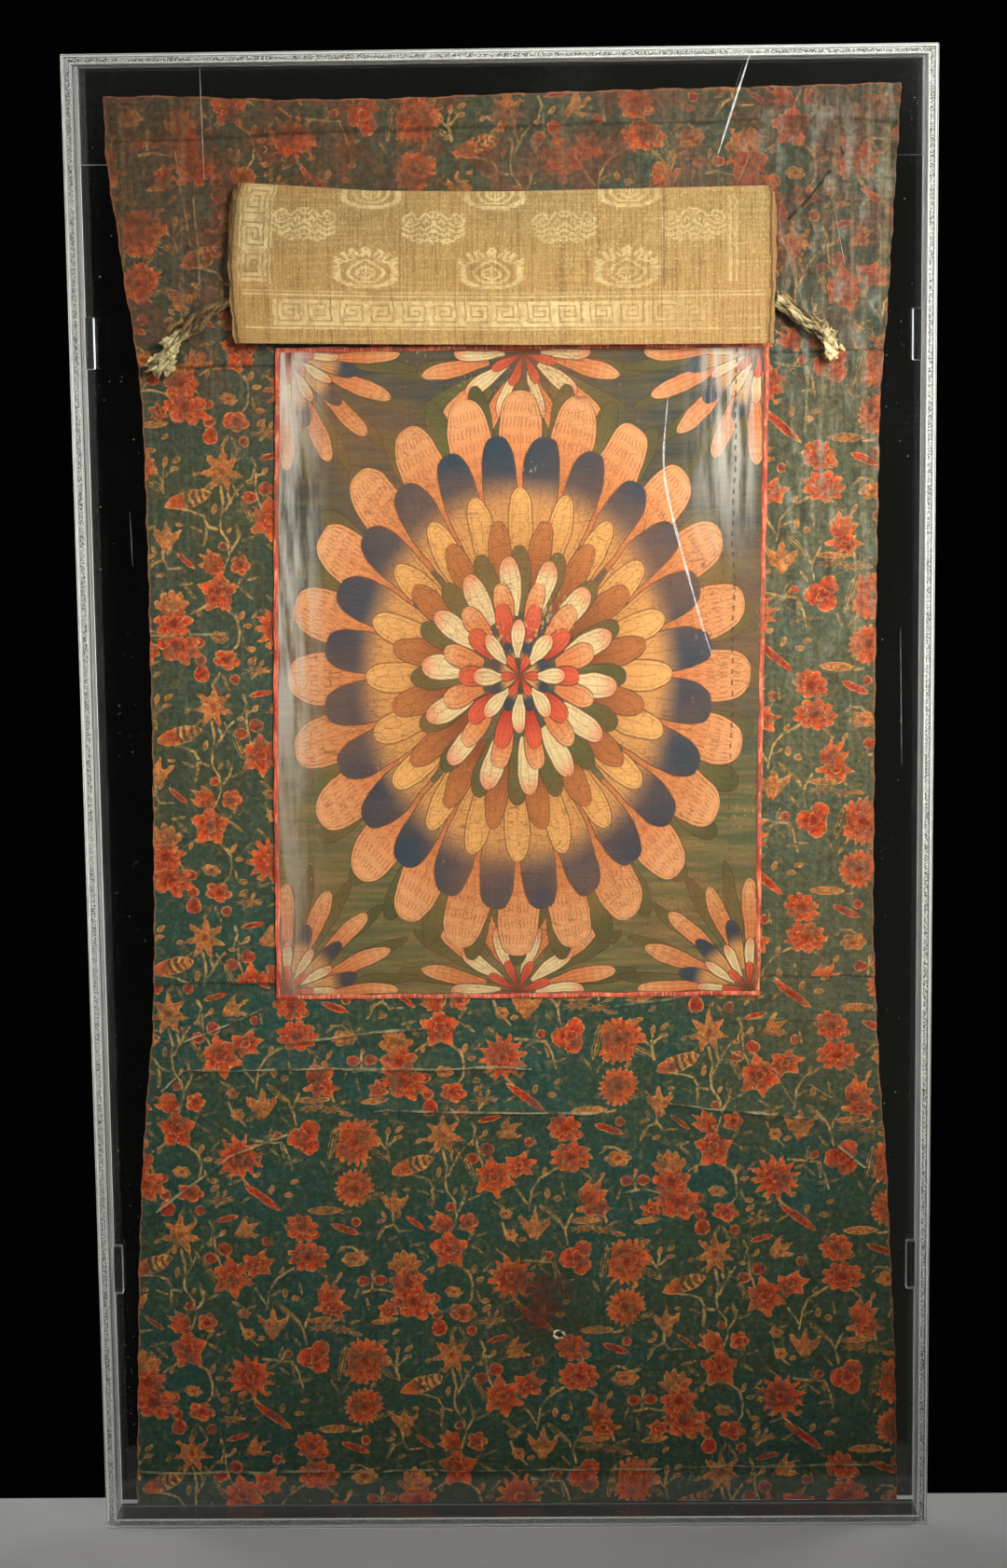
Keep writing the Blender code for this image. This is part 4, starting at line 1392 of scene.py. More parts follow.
def damask_chart():
    chart = np.zeros((FRONT_ROWS, VEIL_CELLS))
    fret = chart_of(FRET)
    flipped = fret[:, ::-1]
    for count, column in enumerate(range(24, 262, 17)):
        fading = 1.0 if column < 180 else max(0.25, 1.0 - (column - 180) / 90)
        stamp(chart, fret if count % 2 else flipped, 10, column, fading)
    for row in (8, 26):
        chart[row, 8:290] = np.linspace(1.0, 0.55, 282)
    chart[28, 8:290] = np.linspace(0.7, 0.3, 282)
    tall = np.rot90(fret)
    for count, row in enumerate(range(33, FRONT_ROWS, 17)):
        stamp(chart, tall if count % 2 else tall[::-1], row, 8, 0.9)
    for column in (6, 23):
        chart[32:, column] = 0.9
    large, small = mirrored(chart_of(MEDALLION)), mirrored(chart_of(CLOUDY))
    for column in (75, 143, 216):
        fading = 1.0 if column < 200 else 0.7
        stamp(chart, large, 31, column - 17, fading)
        stamp(chart, large, 75, column - 16, 0.85)
    for column in (41, 111, 182, 252):
        fading = 0.95 if column < 150 else 0.6
        stamp(chart, small, 56, column - 17, fading)
    for column in (271, 272, 275):
        chart[34:80, column] = 0.5
    near = sum(np.roll(chart, (i, j), (0, 1)) for i in (-1, 0, 1) for j in (-1, 0, 1)) / 9
    return np.maximum(chart, near * 0.22)


CHART = damask_chart()
print("damask chart:", CHART.shape, "share woven:", round(float((CHART > 0).mean()), 2))

# %% [markdown]
# The fold's shape is the CAD model's: a path in section that runs down and up, with half circles at the
# turns. Here it has more steps, the cloth is thinner, and each layer's edges are ragged.

# %% The veil's shape
VEIL_PITCH = 0.0022
SOLID_VEIL_HALF = 0.0005
VEIL_THICKNESS = 0.0005
VEIL_BACK_Y = MOUNT_FACE_Y - LAYER_GAP - SOLID_VEIL_HALF
VEIL_LAYERS = 5
TURN_STEPS = 4
BACK_STEPS = 9
VEIL_EDGES = rows_of(Edges, (
    (0.8995, -0.17, 0.1745), (0.888, -0.1745, 0.1775), (0.847, -0.1782, 0.1779),
    (0.814, -0.1763, 0.1772), (0.793, -0.1735, 0.176),
))
VEIL_TOP = rows_of(Rim, (
    (-0.17, 0.8995), (-0.142, 0.8974), (-0.082, 0.8931), (0.0, 0.8915), (0.176, 0.8934),
))
VEIL_HEM = (Rim(-0.174, 0.7972), Rim(-0.084, 0.7956), Rim(0.013, 0.7939), Rim(0.177, 0.7931))
VEIL_TURNS = rows_of(Turn, (
    (0.008, 0.0045, 0.004), (0.007, 0.003, 0.0012), (0.005, 0.0, 0.0), (0.0055, 0.0016, 0.003),
    (0.0011, 0.0034, 0.0032), (0.0, 0.0, 0.001),
))


def veil_route():
    """Rows of (layer, way travelled, height, forward, rise), from the sewn edge to the hem."""
    route = []
    for layer in range(VEIL_LAYERS):
        steps = FRONT_ROWS if layer == VEIL_LAYERS - 1 else BACK_STEPS
        for step in range(steps + 1):
            share = step / steps
            height = 1 - share if layer % 2 == 0 else share
            route.append((layer, layer + share, height, layer * VEIL_PITCH, 0.0))
        if layer < VEIL_LAYERS - 1:
            for step in range(1, TURN_STEPS):
                angle = math.pi * step / TURN_STEPS
                forward = layer * VEIL_PITCH + VEIL_PITCH / 2 * (1 - math.cos(angle))
                rise = VEIL_PITCH / 2 * math.sin(angle) * (-1 if layer % 2 == 0 else 1)
                route.append((layer, layer + 1, float(layer % 2), forward, rise))
    return np.array(route)


ROUTE = veil_route()


def end_inset(layer, at_bottom):
    turn = np.where(layer % 2 == at_bottom, layer, layer + 1).astype(int)
    return np.array([row.height_inset for row in VEIL_TURNS])[turn]


def veil_middle(u, v):
    row = ROUTE[np.rint(v * (len(ROUTE) - 1)).astype(int)]
    layer, travelled, height, forward, rise = row.T
    rough_z = VEIL_HEM[-1].height + (VEIL_TOP[-1].height - VEIL_HEM[-1].height) * height
    ways = range(len(VEIL_TURNS))
    ragged = 0.0005 * np.sin(rough_z * 310 + layer * 2) + 0.0003 * np.sin(rough_z * 870 + layer * 5)
    left = table_column(rough_z, VEIL_EDGES, "left") + ragged
    left = left + np.interp(travelled, ways, [turn.left_inset for turn in VEIL_TURNS])
    right = table_column(rough_z, VEIL_EDGES, "right") + 0.6 * ragged
    right = right - np.interp(travelled, ways, [turn.right_inset for turn in VEIL_TURNS])
    x = left * (1 - u) + right * u
    low = table_column(x, VEIL_HEM, "height") + end_inset(layer, 1)
    high = table_column(x, VEIL_TOP, "height") - end_inset(layer, 0)
    z = low * (1 - height) + high * height + rise
    curl = 0.0009 * np.exp(-((u / 0.01) ** 2)) * (layer == VEIL_LAYERS - 1)
    wave = 0.00022 * np.sin(47 * x + 5 * layer) + 0.00015 * np.sin(90 * z + 30 * x + layer)
    return x, VEIL_BACK_Y - drape(x, z) - forward + curl - wave, z


veil = cloth_sheet("damask_veil", VEIL_CELLS, len(ROUTE) - 1, veil_middle, VEIL_THICKNESS, offset=0.0)
print("veil:", len(veil.data.polygons), "faces")

# %% [markdown]
# A face belongs to the front layer by its depth, and its place between the edges gives its column and row.

# %% Weave the chart into the veil
def weave_chart(veil):
    mesh = veil.data
    count = len(mesh.polygons)
    centre = np.empty(count * 3)
    mesh.polygons.foreach_get("center", centre)
    x, y, z = centre.reshape(-1, 3).T
    depth = VEIL_BACK_Y - drape(x, z) - y
    front = depth > (VEIL_LAYERS - 1.42) * VEIL_PITCH
    left = table_column(z, VEIL_EDGES, "left")
    right = table_column(z, VEIL_EDGES, "right") - VEIL_TURNS[-1].right_inset
    column = np.clip(((x - left) / (right - left) * VEIL_CELLS).astype(int), 0, VEIL_CELLS - 1)
    low = table_column(x, VEIL_HEM, "height")
    high = table_column(x, VEIL_TOP, "height") - VEIL_TURNS[-2].height_inset
    row = np.clip(((z - low) / (high - low) * FRONT_ROWS).astype(int), 0, FRONT_ROWS - 1)
    put_attribute(mesh, "figure", "FLOAT", "FACE", np.where(front, CHART[row, column], 0.0))
    ends = np.minimum(x - left, right - x)
    put_attribute(mesh, "selvage", "FLOAT", "FACE", ends)


weave_chart(veil)


# %% Gold damask finish
def gold_damask():
    net = new_finish("gold_damask", 0.62, Sheen_Weight=0.05, Specular_IOR_Level=0.25)
    place = net.place()
    x, _, z = net.split(place)
    figure = net.field("figure")
    weave = net.group(WEAVE, {"Place": place, "Thread": 0.00038})
    blotch = noise(place, 16, 3)
    ground = shade(band(z, 0.88, 0.835), (176, 152, 98), (194, 156, 96))
    ground = ground.under(band(blotch, 0.42, 0.7, 0, 0.5), 200, 158, 94)
    warp = streaks(place, (620, 90, 9), 3, (2, 2, 2))
    weft = streaks(place, (14, 90, 760), 3, (6, 2, 1))
    thread_noise = streaks(place, (1500, 200, 60), 2, (1, 9, 3))
    ground = ground.under(band(warp, 0.48, 0.66, 0, 0.62), 132, 100, 54)
    ground = ground.under(band(weft, 0.5, 0.7, 0, 0.4), 226, 190, 128)
    ground = ground.under(band(thread_noise, 0.5, 0.66, 0, 0.5), 122, 92, 48)
    fluff = noise(place, 620, 3, (7, 7, 1))
    ground = ground.under(band(fluff, 0.5, 0.68, 0, 0.45), 236, 204, 146)
    figured = shade(band(blotch, 0.3, 0.7), (240, 220, 166), (232, 204, 146))
    holding = figure * band(noise(place, 190, 3), 0.34, 0.6, 0.4, 1)
    cloth = net.mix(holding, ground, figured)
    thread = line(x - 0.1046, 0.0008, 0.7) * band(z, 0.826, 0.832) * band(weft, 0.35, 0.5, 0.3, 1)
    cloth = cloth.under(thread, 104, 96, 70)
    soiled = band(noise(place, 34, 4, (3, 9, 3)), 0.54, 0.74, 0, 0.45)
    cloth = cloth.under(soiled, 140, 108, 62)
    # Darker and browner towards the side edges, with a painted shadow line about 4.6 mm in and a pale edge.
    selvage = net.field("selvage") + streaks(place, (260, 90, 60), 2) * 0.003
    cloth = cloth.under(band(selvage, 0.004, 0.009, 0.55, 0), 150, 112, 64)
    cloth = cloth.under(line(selvage - 0.0046, 0.0011, 0.75), 88, 62, 34)
    cloth = cloth.under(band(selvage, 0.002, 0.0032, 0.8, 0), 186, 138, 92)
    aged = net.mix(1.0, cloth, (0.68, 0.65, 0.6, 1), "MULTIPLY")
    raised = net.relief(figure * 0.7 + warp * 0.6 + weft * 0.4, 0.00024, 0.7)
    raised = net.relief(streaks(place, (40, 40, 90), 3), 0.0009, 0.4, raised)
    raised = net.relief(weave["Height"], 0.00012, 0.8, raised)
    return net.coat(net.lit(aged, weave["Slub"] * 1.0 + 0.5), 0.7 - figure * 0.2, raised)


dress(veil, gold_damask(), "gold_damask", "veil")

# %% [markdown]
# ## The ties
#
# Beside the veil stick out the ends of a strip of old cloth that once tied the roll. Each is twisted from
# crumpled ribbons and has come undone at its tip. The middle lines are the CAD model's.

# %% Tie routes
TIE_CLEARANCE = 0.0062
TIE_POINT_SPACING = 0.0013
TIE_TURN_LENGTH = 0.045
TIE_ROUTES = {
    "tie_left": rows_of(Bend, (
        (-0.1802, 0.8222, 0.0026), (-0.187, 0.8188, 0.0036), (-0.1942, 0.8146, 0.005),
        (-0.201, 0.8092, 0.0054), (-0.2068, 0.8036, 0.0054), (-0.2122, 0.7972, 0.0052),
        (-0.217, 0.7908, 0.0046), (-0.2222, 0.7848, 0.0036), (-0.2272, 0.7796, 0.0022),
    )),
    "tie_right": rows_of(Bend, (
        (0.1812, 0.8196, 0.0047), (0.1868, 0.8152, 0.0048), (0.1932, 0.8104, 0.0048),
        (0.1994, 0.8056, 0.0047), (0.2056, 0.8004, 0.0045), (0.211, 0.7952, 0.0036),
        (0.2146, 0.7892, 0.0022), (0.2158, 0.7826, 0.001),
    )),
}


def smooth_route(points, spacing):
    """Points at an even spacing on a smooth curve through the route's own points."""
    rows = np.array(points)
    padded = np.vstack([2 * rows[0] - rows[1], rows, 2 * rows[-1] - rows[-2]])
    fine = []
    for start in range(1, len(rows)):
        before, here, there, after = padded[start - 1 : start + 3]
        for t in np.linspace(0, 1, 20, endpoint=False):
            bend = 2 * before - 5 * here + 4 * there - after
            swing = 3 * here - before - 3 * there + after
            fine.append(here + 0.5 * t * ((there - before) + t * (bend + t * swing)))
    fine = np.array(fine + [rows[-1]])
    travelled = np.concatenate([[0], np.cumsum(np.linalg.norm(np.diff(fine[:, :2], axis=0), axis=1))])
    even = np.linspace(0, travelled[-1], max(2, round(travelled[-1] / spacing) + 1))
    return np.stack([np.interp(even, travelled, fine[:, k]) for k in range(3)], axis=1)


def tie_line(route):
    """The tie's middle line in space, and its radius along it."""
    x, z, radius = smooth_route(route, TIE_POINT_SPACING).T
    return np.stack([x, MOUNT_FACE_Y - fall(x, z) - TIE_CLEARANCE, z], axis=1), radius


TIE_LINES = {name: tie_line(route) for name, route in TIE_ROUTES.items()}

# %% Strands
random.seed(11)
RIBBONS, RIBBON_STEP = 5, 1.26
PLIES, PLY_STEP = 4, 1.57
STRIP_POINTS = 16
THINNEST = 0.00012


def crumpled_profile(name, sides, folds, depth, flat=1.0):
    """The section of a bunched strip: a round or flat outline with uneven folds, one unit in radius."""
    outline = bpy.data.curves.new(name, "CURVE")
    outline.dimensions = "2D"
    spline = outline.splines.new("POLY")
    spline.points.add(sides - 1)
    phase = random.uniform(0, math.tau)
    for index, point in enumerate(spline.points):
        angle = -math.tau * index / sides
        radius = 1 + depth * math.sin(folds * angle + phase) + 0.5 * depth * math.sin((2 * folds - 1) * angle)
        point.co = (radius * math.cos(angle), radius * math.sin(angle) * flat, 0, 1)
    spline.use_cyclic_u = True
    profile = bpy.data.objects.new(name, outline)
    profile.hide_render = True
    bpy.context.scene.collection.objects.link(profile)
    return profile


def swept(name, points, radii, tilts, profile):
    """A curve through points, swept with a profile and made a mesh."""
    curve = bpy.data.curves.new(name, "CURVE")
    curve.dimensions = "3D"
    curve.bevel_mode = "OBJECT"
    curve.bevel_object = profile
    curve.use_fill_caps = True
    spline = curve.splines.new("POLY")
    spline.points.add(len(points) - 1)
    for point, place, radius, tilt in zip(spline.points, points, radii, tilts):
        point.co = (*place, 1)
        point.radius = max(float(radius), THINNEST)
        point.tilt = float(tilt)
    strand = bpy.data.objects.new(name, curve)
    bpy.context.scene.collection.objects.link(strand)
    only(strand)
    bpy.ops.object.convert(target="MESH")
    return bpy.context.object


def merged(name, parts):
    only(parts[0])
    for part in parts:
        part.select_set(True)
    bpy.ops.object.join()
    whole = bpy.context.object
    whole.name = whole.data.name = name
    return whole


def joined(name, parts):
    whole = merged(name, parts)
    bpy.ops.object.mode_set(mode="EDIT")
    bpy.ops.mesh.select_all(action="SELECT")
    bpy.ops.mesh.remove_doubles(threshold=0.00002)
    bpy.ops.mesh.normals_make_consistent(inside=False)
    bpy.ops.object.mode_set(mode="OBJECT")
    bpy.ops.object.shade_smooth_by_angle(angle=math.radians(55))
    return whole


def frames_along(points):
    """For each point of a line: its direction, the way forward out of the cloth, and the way across."""
    way = np.gradient(points, axis=0)
    way /= np.linalg.norm(way, axis=1)[:, None]
    forward = np.tile([0.0, -1.0, 0.0], (len(points), 1))
    forward -= (forward * way).sum(axis=1)[:, None] * way
    forward /= np.linalg.norm(forward, axis=1)[:, None]
    return way, forward, np.cross(way, forward)


def wound(points, radii, turns_from, offset, sway=0.0):
    """A line wound round another one, half its radius or so out."""
    _, forward, across = frames_along(points)
    travelled = np.arange(len(points)) * TIE_POINT_SPACING
    angle = math.tau * travelled / TIE_TURN_LENGTH + turns_from
    angle = angle + sway * np.sin(travelled * 210)
    out = (radii * offset)[:, None]
    return points + out * (np.cos(angle)[:, None] * across + np.sin(angle)[:, None] * forward), angle


def hold_off(path, gap):
    """Keeps a path clear of the mount's face."""
    path[:, 1] = np.minimum(path[:, 1], MOUNT_FACE_Y - fall(path[:, 0], path[:, 2]) - gap)


def add_tie(name):
    """Flat crumpled ribbons that turn over each other slowly, from inside the veil's edge to the tip."""
    points, radii = TIE_LINES[name]
    way = (points[0] - points[1]) / np.linalg.norm(points[0] - points[1])
    lead = points[0] + way * TIE_POINT_SPACING * np.arange(3, 0, -1)[:, None]
    points, radii = np.vstack([lead, points]), np.concatenate([radii[:1]] * 3 + [radii])
    steps = np.arange(len(points))
    parts = []
    for ribbon in range(RIBBONS):
        path, angle = wound(points, radii, ribbon * RIBBON_STEP, 0.6, 0.5)
        wide = random.uniform(0.48, 0.6)
        lumps = 1 + 0.1 * np.sin(steps * random.uniform(0.25, 0.5) + ribbon)
        lumps = lumps + 0.05 * np.sin(steps * 1.37 + ribbon)
        profile = crumpled_profile(f"{name}_section_{ribbon}", 26, 3, 0.17, 0.5)
        tilts = angle * 1.3 + random.uniform(0, 3) + 0.5 * np.sin(steps * 0.6 + ribbon)
        hold_off(path, radii * wide * 0.8 + 0.0006)
        parts.append(swept(f"{name}_ribbon_{ribbon}", path, radii * wide * lumps, tilts, profile))
    for ply in range(PLIES):
        path, angle = wound(points, radii, ply * PLY_STEP + 0.5, 0.92, 0.7)
        profile = crumpled_profile(f"{name}_ply_{ply}", 10, 3, 0.25, 0.5)
        hold_off(path, 0.0024)
        bulk = radii * random.uniform(0.08, 0.18) * (1 + 0.4 * np.sin(steps * random.uniform(0.3, 0.7)))
        parts.append(swept(f"{name}_ply_{ply}", path, bulk, angle * 2, profile))
    return joined("twisted_" + name, parts)


def add_frayed_end(name, count, reach, earliest):
    """The tie's loose tip: torn leaf-like strips that fan out, curl and overlap."""
    points, radii = TIE_LINES[name]
    way, forward, across = frames_along(points)
    parts = []
    for index in range(count):
        start = len(points) - 1 - random.randint(6, earliest)
        side = random.uniform(-1, 1)
        lift = random.uniform(0.1, 1.0)
        length = random.uniform(0.55, 1.0) * reach
        steps = np.linspace(0, 1, STRIP_POINTS)
        base = points[start] + across[start] * 0.0046 * side + forward[start] * radii[start] * lift
        curl = random.uniform(-0.7, 0.7)
        turn = side * 0.6 * steps**1.3 + curl * steps**2
        heading = np.cos(turn)[:, None] * way[start] + np.sin(turn)[:, None] * across[start]
        out = np.cumsum(heading * length / (STRIP_POINTS - 1), axis=0)
        bob = 0.0011 * np.sin(steps * random.uniform(4, 9) + index)[:, None] * forward[start]
        path = base + out + bob
        hold_off(path, 0.0012)
        swell = np.sin(math.pi * np.clip(steps * 0.9 + 0.1, 0, 1)) ** 0.6
        swell = swell * (1 + 0.22 * np.sin(steps * 19 + index))
        width = random.uniform(0.0016, 0.0042) * swell
        profile = crumpled_profile(f"{name}_strip_{index}", 14, 3, 0.24, 0.3)
        tilts = random.uniform(0, 3) + steps * random.uniform(-2, 2)
        parts.append(swept(f"{name}_strip_{index}", path, width, tilts, profile))
    return joined("frayed_end_" + name, parts)


# %% Tie finish
def old_strip(name, pale):
    """Grey-brown worn cotton, with painted shade in the hollows of its folds, and pale where it is frayed."""
    net = new_finish(name, 0.88, Sheen_Weight=0.04, Specular_IOR_Level=0.2)
    place = net.place()
    x, _, z = net.split(place)
    along, across = abs(x) * 0.73 - z * 0.68, abs(x) * 0.68 + z * 0.73
    fold = noise(net.join(along, across * 6), 62, 3)
    fibre = noise(net.join(along, across * 5), 420, 3)
    patch = noise(place, 130, 3)
    hollow_shade = 0.9 if pale < 0.5 else 0.5
    if pale < 0.5:
        above = (x - 0.196) * 0.69 + (z - 0.808) * 0.72 + (patch - 0.5) * 0.008
        torn = band(along + (patch - 0.5) * 0.016, -0.398, -0.388, 0.04, 0.75)
        pale = most(torn, band(above, 0.0024, -0.001, 0.1, 0.8) * (x > 0))
    dark = shade(band(patch, 0.36, 0.66), (78, 54, 31), (124, 94, 56))
    light = shade(band(patch, 0.3, 0.62), (168, 148, 98), (228, 214, 164))
    cloth = net.mix(pale, dark, light)
    # Painted shade in the hollows of the folds.
    cloth = cloth.under(band(fold, 0.42, 0.56, hollow_shade, 0), 50, 36, 20)
    cloth = net.mix(band(fibre, 0.52, 0.7, 0, 0.35), cloth, light)
    return net.coat(cloth, band(fibre, 0.3, 0.7, 0.8, 0.94), net.relief(fold + fibre * 0.3, 0.0012, 0.9))


TWISTED_CLOTH = old_strip("twisted_cloth", 0.1)
FRAYED_CLOTH = old_strip("frayed_cloth", 0.9)
ties, frays = {}, {}
for name, strips, reach in (("tie_left", 24, 0.013), ("tie_right", 11, 0.0085)):
    ties[name] = add_tie(name)
    frays[name] = add_frayed_end(name, strips, reach, 20)
    dress(ties[name], TWISTED_CLOTH, "tie_cloth", name)
    dress(frays[name], FRAYED_CLOTH, "tie_cloth")
    print(name, len(ties[name].data.polygons), "and", len(frays[name].data.polygons), "faces")
for helper in [piece for piece in bpy.data.objects if piece.type == "CURVE" and "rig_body" not in piece]:
    bpy.data.objects.remove(helper, do_unlink=True)

# %% [markdown]
# ## Pins and specks
#
# A few dress pins hold the cloth. Each is a short bent wire with a small head.

# %% Pins
def pin_metal(name, colour, roughness):
    net = new_finish(name, roughness, Metallic=1.0)
    spots = noise(net.place(), 900, 2)
    rusty = net.mix(band(spots, 0.4, 0.7), colour, tint(120, 96, 66))
    return net.coat(rusty, band(spots, 0.35, 0.7, roughness, 0.6))


def add_pin(name, pin):
    """A bent wire that lies on the cloth's face, with a small round head at its start."""
    steps = np.linspace(0, 1, PIN_POINTS)
    turn = math.radians(pin.degrees) + pin.bend * (steps - 0.3)
    across = np.cumsum(np.cos(turn)) * pin.length / PIN_POINTS
    up = np.cumsum(np.sin(turn)) * pin.length / PIN_POINTS
    xs, zs = pin.x + across - across.mean(), pin.z + up - up.mean()
    lift = 0.0005 + 0.0006 * np.sin(steps * math.pi)
    points = np.stack([xs, mount_front(xs, zs) - lift, zs], axis=1)
    profile = crumpled_profile(name + "_round", 8, 1, 0.0)
    radii = WIRE_RADIUS * np.interp(steps, (0, 0.8, 1), (1, 1, 0.3))
    wire = swept(name + "_wire", points, radii, np.zeros(PIN_POINTS), profile)
    bpy.data.objects.remove(profile, do_unlink=True)
    only(wire)
    shape = {"segments": 10, "ring_count": 6, "radius": HEAD_RADIUS, "calc_uvs": False}
    bpy.ops.mesh.primitive_uv_sphere_add(location=points[0], **shape)
    head = bpy.context.object
    bpy.ops.object.transform_apply(location=True, rotation=True, scale=True)
    dress(joined(name, [wire, head]), PALE_WIRE if pin.pale else DARK_WIRE)


PIN_POINTS = 12
WIRE_RADIUS = 0.00032
HEAD_RADIUS = 0.00075
PALE_WIRE = pin_metal("pale_wire", tint(216, 206, 178), 0.35)
DARK_WIRE = pin_metal("dark_wire", tint(70, 58, 46), 0.5)
Pin = namedtuple("Pin", "x z degrees length bend pale")
PINS = {
    "pin_upper_left": Pin(-0.1515, 0.9208, 60, 0.006, 2.6, True),
    "pin_upper_right": Pin(0.2196, 0.9161, 110, 0.0055, 0.5, False),
    "pin_lower_middle": Pin(0.0873, 0.0229, 80, 0.005, 0.4, False),
    "pin_lower_right": Pin(0.2374, 0.0161, 95, 0.0048, 0.4, False),
}
for name, pin in PINS.items():
    add_pin(name, pin)
print("pins:", len(PINS))

# %% [markdown]
# ## The acrylic case
#
# Clear acrylic shows mostly by its edges: the polished faces let light through, and the cut edges scatter it
# and look pale. The finish is clear where a face is broad and frosted where it is an edge.

# %% Acrylic finish
def acrylic(name, edge_axes, frost=0.42, clear=0.95, body=250):
    """Clear acrylic. Faces along edge_axes, such as "XZ", are cut edges and frosted."""
    net = new_finish(name, 0.03, Transmission_Weight=1.0, IOR=1.49)
    place = net.place()
    normal = net.split(net.out("ShaderNodeNewGeometry", output="Normal"))
    toward = [abs(normal["XYZ".index(axis)]) for axis in edge_axes]
    edge = band(most(*toward), 0.25, 0.55)
    saw = streaks(place, (700, 60, 60), 3)
    polished = band(noise(place, 9, 4), 0.5, 0.8, 0.015, 0.07)
    rough = edge * band(saw, 0.3, 0.7, frost * 0.7, frost) + (1 - edge) * polished
    net.coat(net.mix(edge, tint(body, body + 1, body), tint(232, 236, 234)), rough)
    surface = Wire(net, net.shader().outputs[0])
    passing = net.out("ShaderNodeBsdfTransparent", {"Color": (clear, clear, clear, 1)})
    is_shadow = net.out("ShaderNodeLightPath", output="Is Shadow Ray")
    blend = net.out("ShaderNodeMixShader", {0: is_shadow, 1: surface, 2: passing})
    net.feed(net.tree.nodes["Material Output"].inputs["Surface"], blend)
    return net.finish


PANEL_ACRYLIC = acrylic("acrylic_panel", "XZ")
WALL_ACRYLIC = acrylic("acrylic_wall", "Y", 0.12)
# The foot is grey and lets little lamp light through, so it casts a painted shadow on the floor under the
# case.
SHADOWING_FOOT_ACRYLIC = acrylic("acrylic_foot", "Y", 0.08, 0.12, 150)
SPACER_ACRYLIC = acrylic("acrylic_spacer", "XZ", 0.5)
CLEAR_SOLIDS = (
    (PANEL_ACRYLIC, ("case_front", "case_back", "hanging_strip")),
    (WALL_ACRYLIC, ("case_left", "case_right", "case_top")),
    (SHADOWING_FOOT_ACRYLIC, ("case_bottom",)),
    (SPACER_ACRYLIC, tuple(name for name in frame["nodes"] if name.startswith("spacer"))),
)
for finish, names in CLEAR_SOLIDS:
    for name in names:
        wear(frame["nodes"][name], finish)
print("acrylic on", sum(len(names) for _, names in CLEAR_SOLIDS), "solids")

# %% [markdown]
# The walls are glued between the panels, and the glue is full of small pale bubbles. Each joint gets a thin
# film in the gap that the CAD model leaves, with an alpha that the bubbles make dense. A pale line near the
# film's outer edge is a painted glint of the polished edge.

# %% Glue films
CASE_WIDTH, CASE_HEIGHT = 0.556, 0.98
WALL = 0.006
GLUE = 0.00016
GLUE_Y = 0.01485
FILM_MARGIN = 0.0003
FILM_WIDTH = WALL - 0.0002


def glue_and_glint_finish():
    net = new_finish("glue_bubbles", 0.55, Specular_IOR_Level=0.4)
    place = net.place()
    x, _, z = net.split(place)
    inward = least(CASE_WIDTH / 2 - abs(x), z, CASE_HEIGHT - z)
    cells = net.out("ShaderNodeTexVoronoi", {"Vector": net.scaled(place, (620, 620, 620)), "Scale": 1.0})
    bubble = band(cells, 0.26, 0.4, 1, 0) * band(noise(place, 190), 0.36, 0.56)
    cloudy = noise(place, 55, 4)
    fine = noise(place, 900)
    # Painted glint: a pale line just inside the outer edge.
    outer = band(inward, 0.0003, 0.0007) * band(inward, 0.0013, 0.0018, 1, 0)
    speck = band(noise(place, 1300, 2, (3, 1, 7)), 0.46, 0.56)
    beads = band(inward, 0.0022, 0.0027) * most(bubble, band(cloudy, 0.4, 0.64, 0.1, 0.6), speck * 0.75)
    inner = band(inward, 0.0048, 0.0052)
    foot = band(z, 0.0046, 0.005, 0.35, 1)
    alpha = least(most(outer * foot, beads * foot, inner) + fine * 0.08, 1.0)
    lines = most(outer, inner * 0.6, bubble * speck)
    dull = shade(speck, (76, 78, 76), (204, 206, 202))
    return net.coat(net.mix(lines, dull, tint(226, 226, 222)), band(fine, 0.3, 0.7, 0.4, 0.7), alpha=alpha)


def add_film(name, y):
    """A flat frame for the glue and its painted edge glint, one wall wide, made from an inset plane."""
    film, flat = started(name, bpy.ops.mesh.primitive_plane_add)
    x = flat[:, 0] * (CASE_WIDTH - 2 * FILM_MARGIN)
    z = (flat[:, 1] + 0.5) * (CASE_HEIGHT - 2 * FILM_MARGIN) + FILM_MARGIN
    move_points(film.data, np.stack([x, np.full_like(x, y), z], axis=1))
    bpy.ops.object.mode_set(mode="EDIT")
    bpy.ops.mesh.select_all(action="SELECT")
    bpy.ops.mesh.inset(thickness=FILM_WIDTH)
    bpy.ops.mesh.delete(type="FACE")
    bpy.ops.object.mode_set(mode="OBJECT")
    body = film.modifiers.new("film", "SOLIDIFY")
    body.thickness = GLUE
    body.offset = 0.0
    apply_modifiers(film)
    return film


GLUE_BUBBLES_AND_GLINTS = glue_and_glint_finish()
for name, y in (("glue_film_front", -GLUE_Y), ("glue_film_back", GLUE_Y)):
    film = add_film(name, y)
    dress(film, GLUE_BUBBLES_AND_GLINTS, "acrylic")
    print(name, len(film.data.polygons), "faces")

# %% [markdown]
# ## Scratches and dust
#
# The front panel has a few long scratches that catch the light: thin tapered slivers on its face. A little
# lint lies inside the case.

# %% Scratches
def pale_mark(name, colour, alpha):
    net = new_finish(name, 0.6, Specular_IOR_Level=0.4)
    grain = noise(net.place(), 300, 3)
    alpha = band(grain, 0.3, 0.65, alpha * 0.6, alpha)
    return net.coat(net.mix(grain, colour, tint(255, 255, 255)), alpha=alpha)


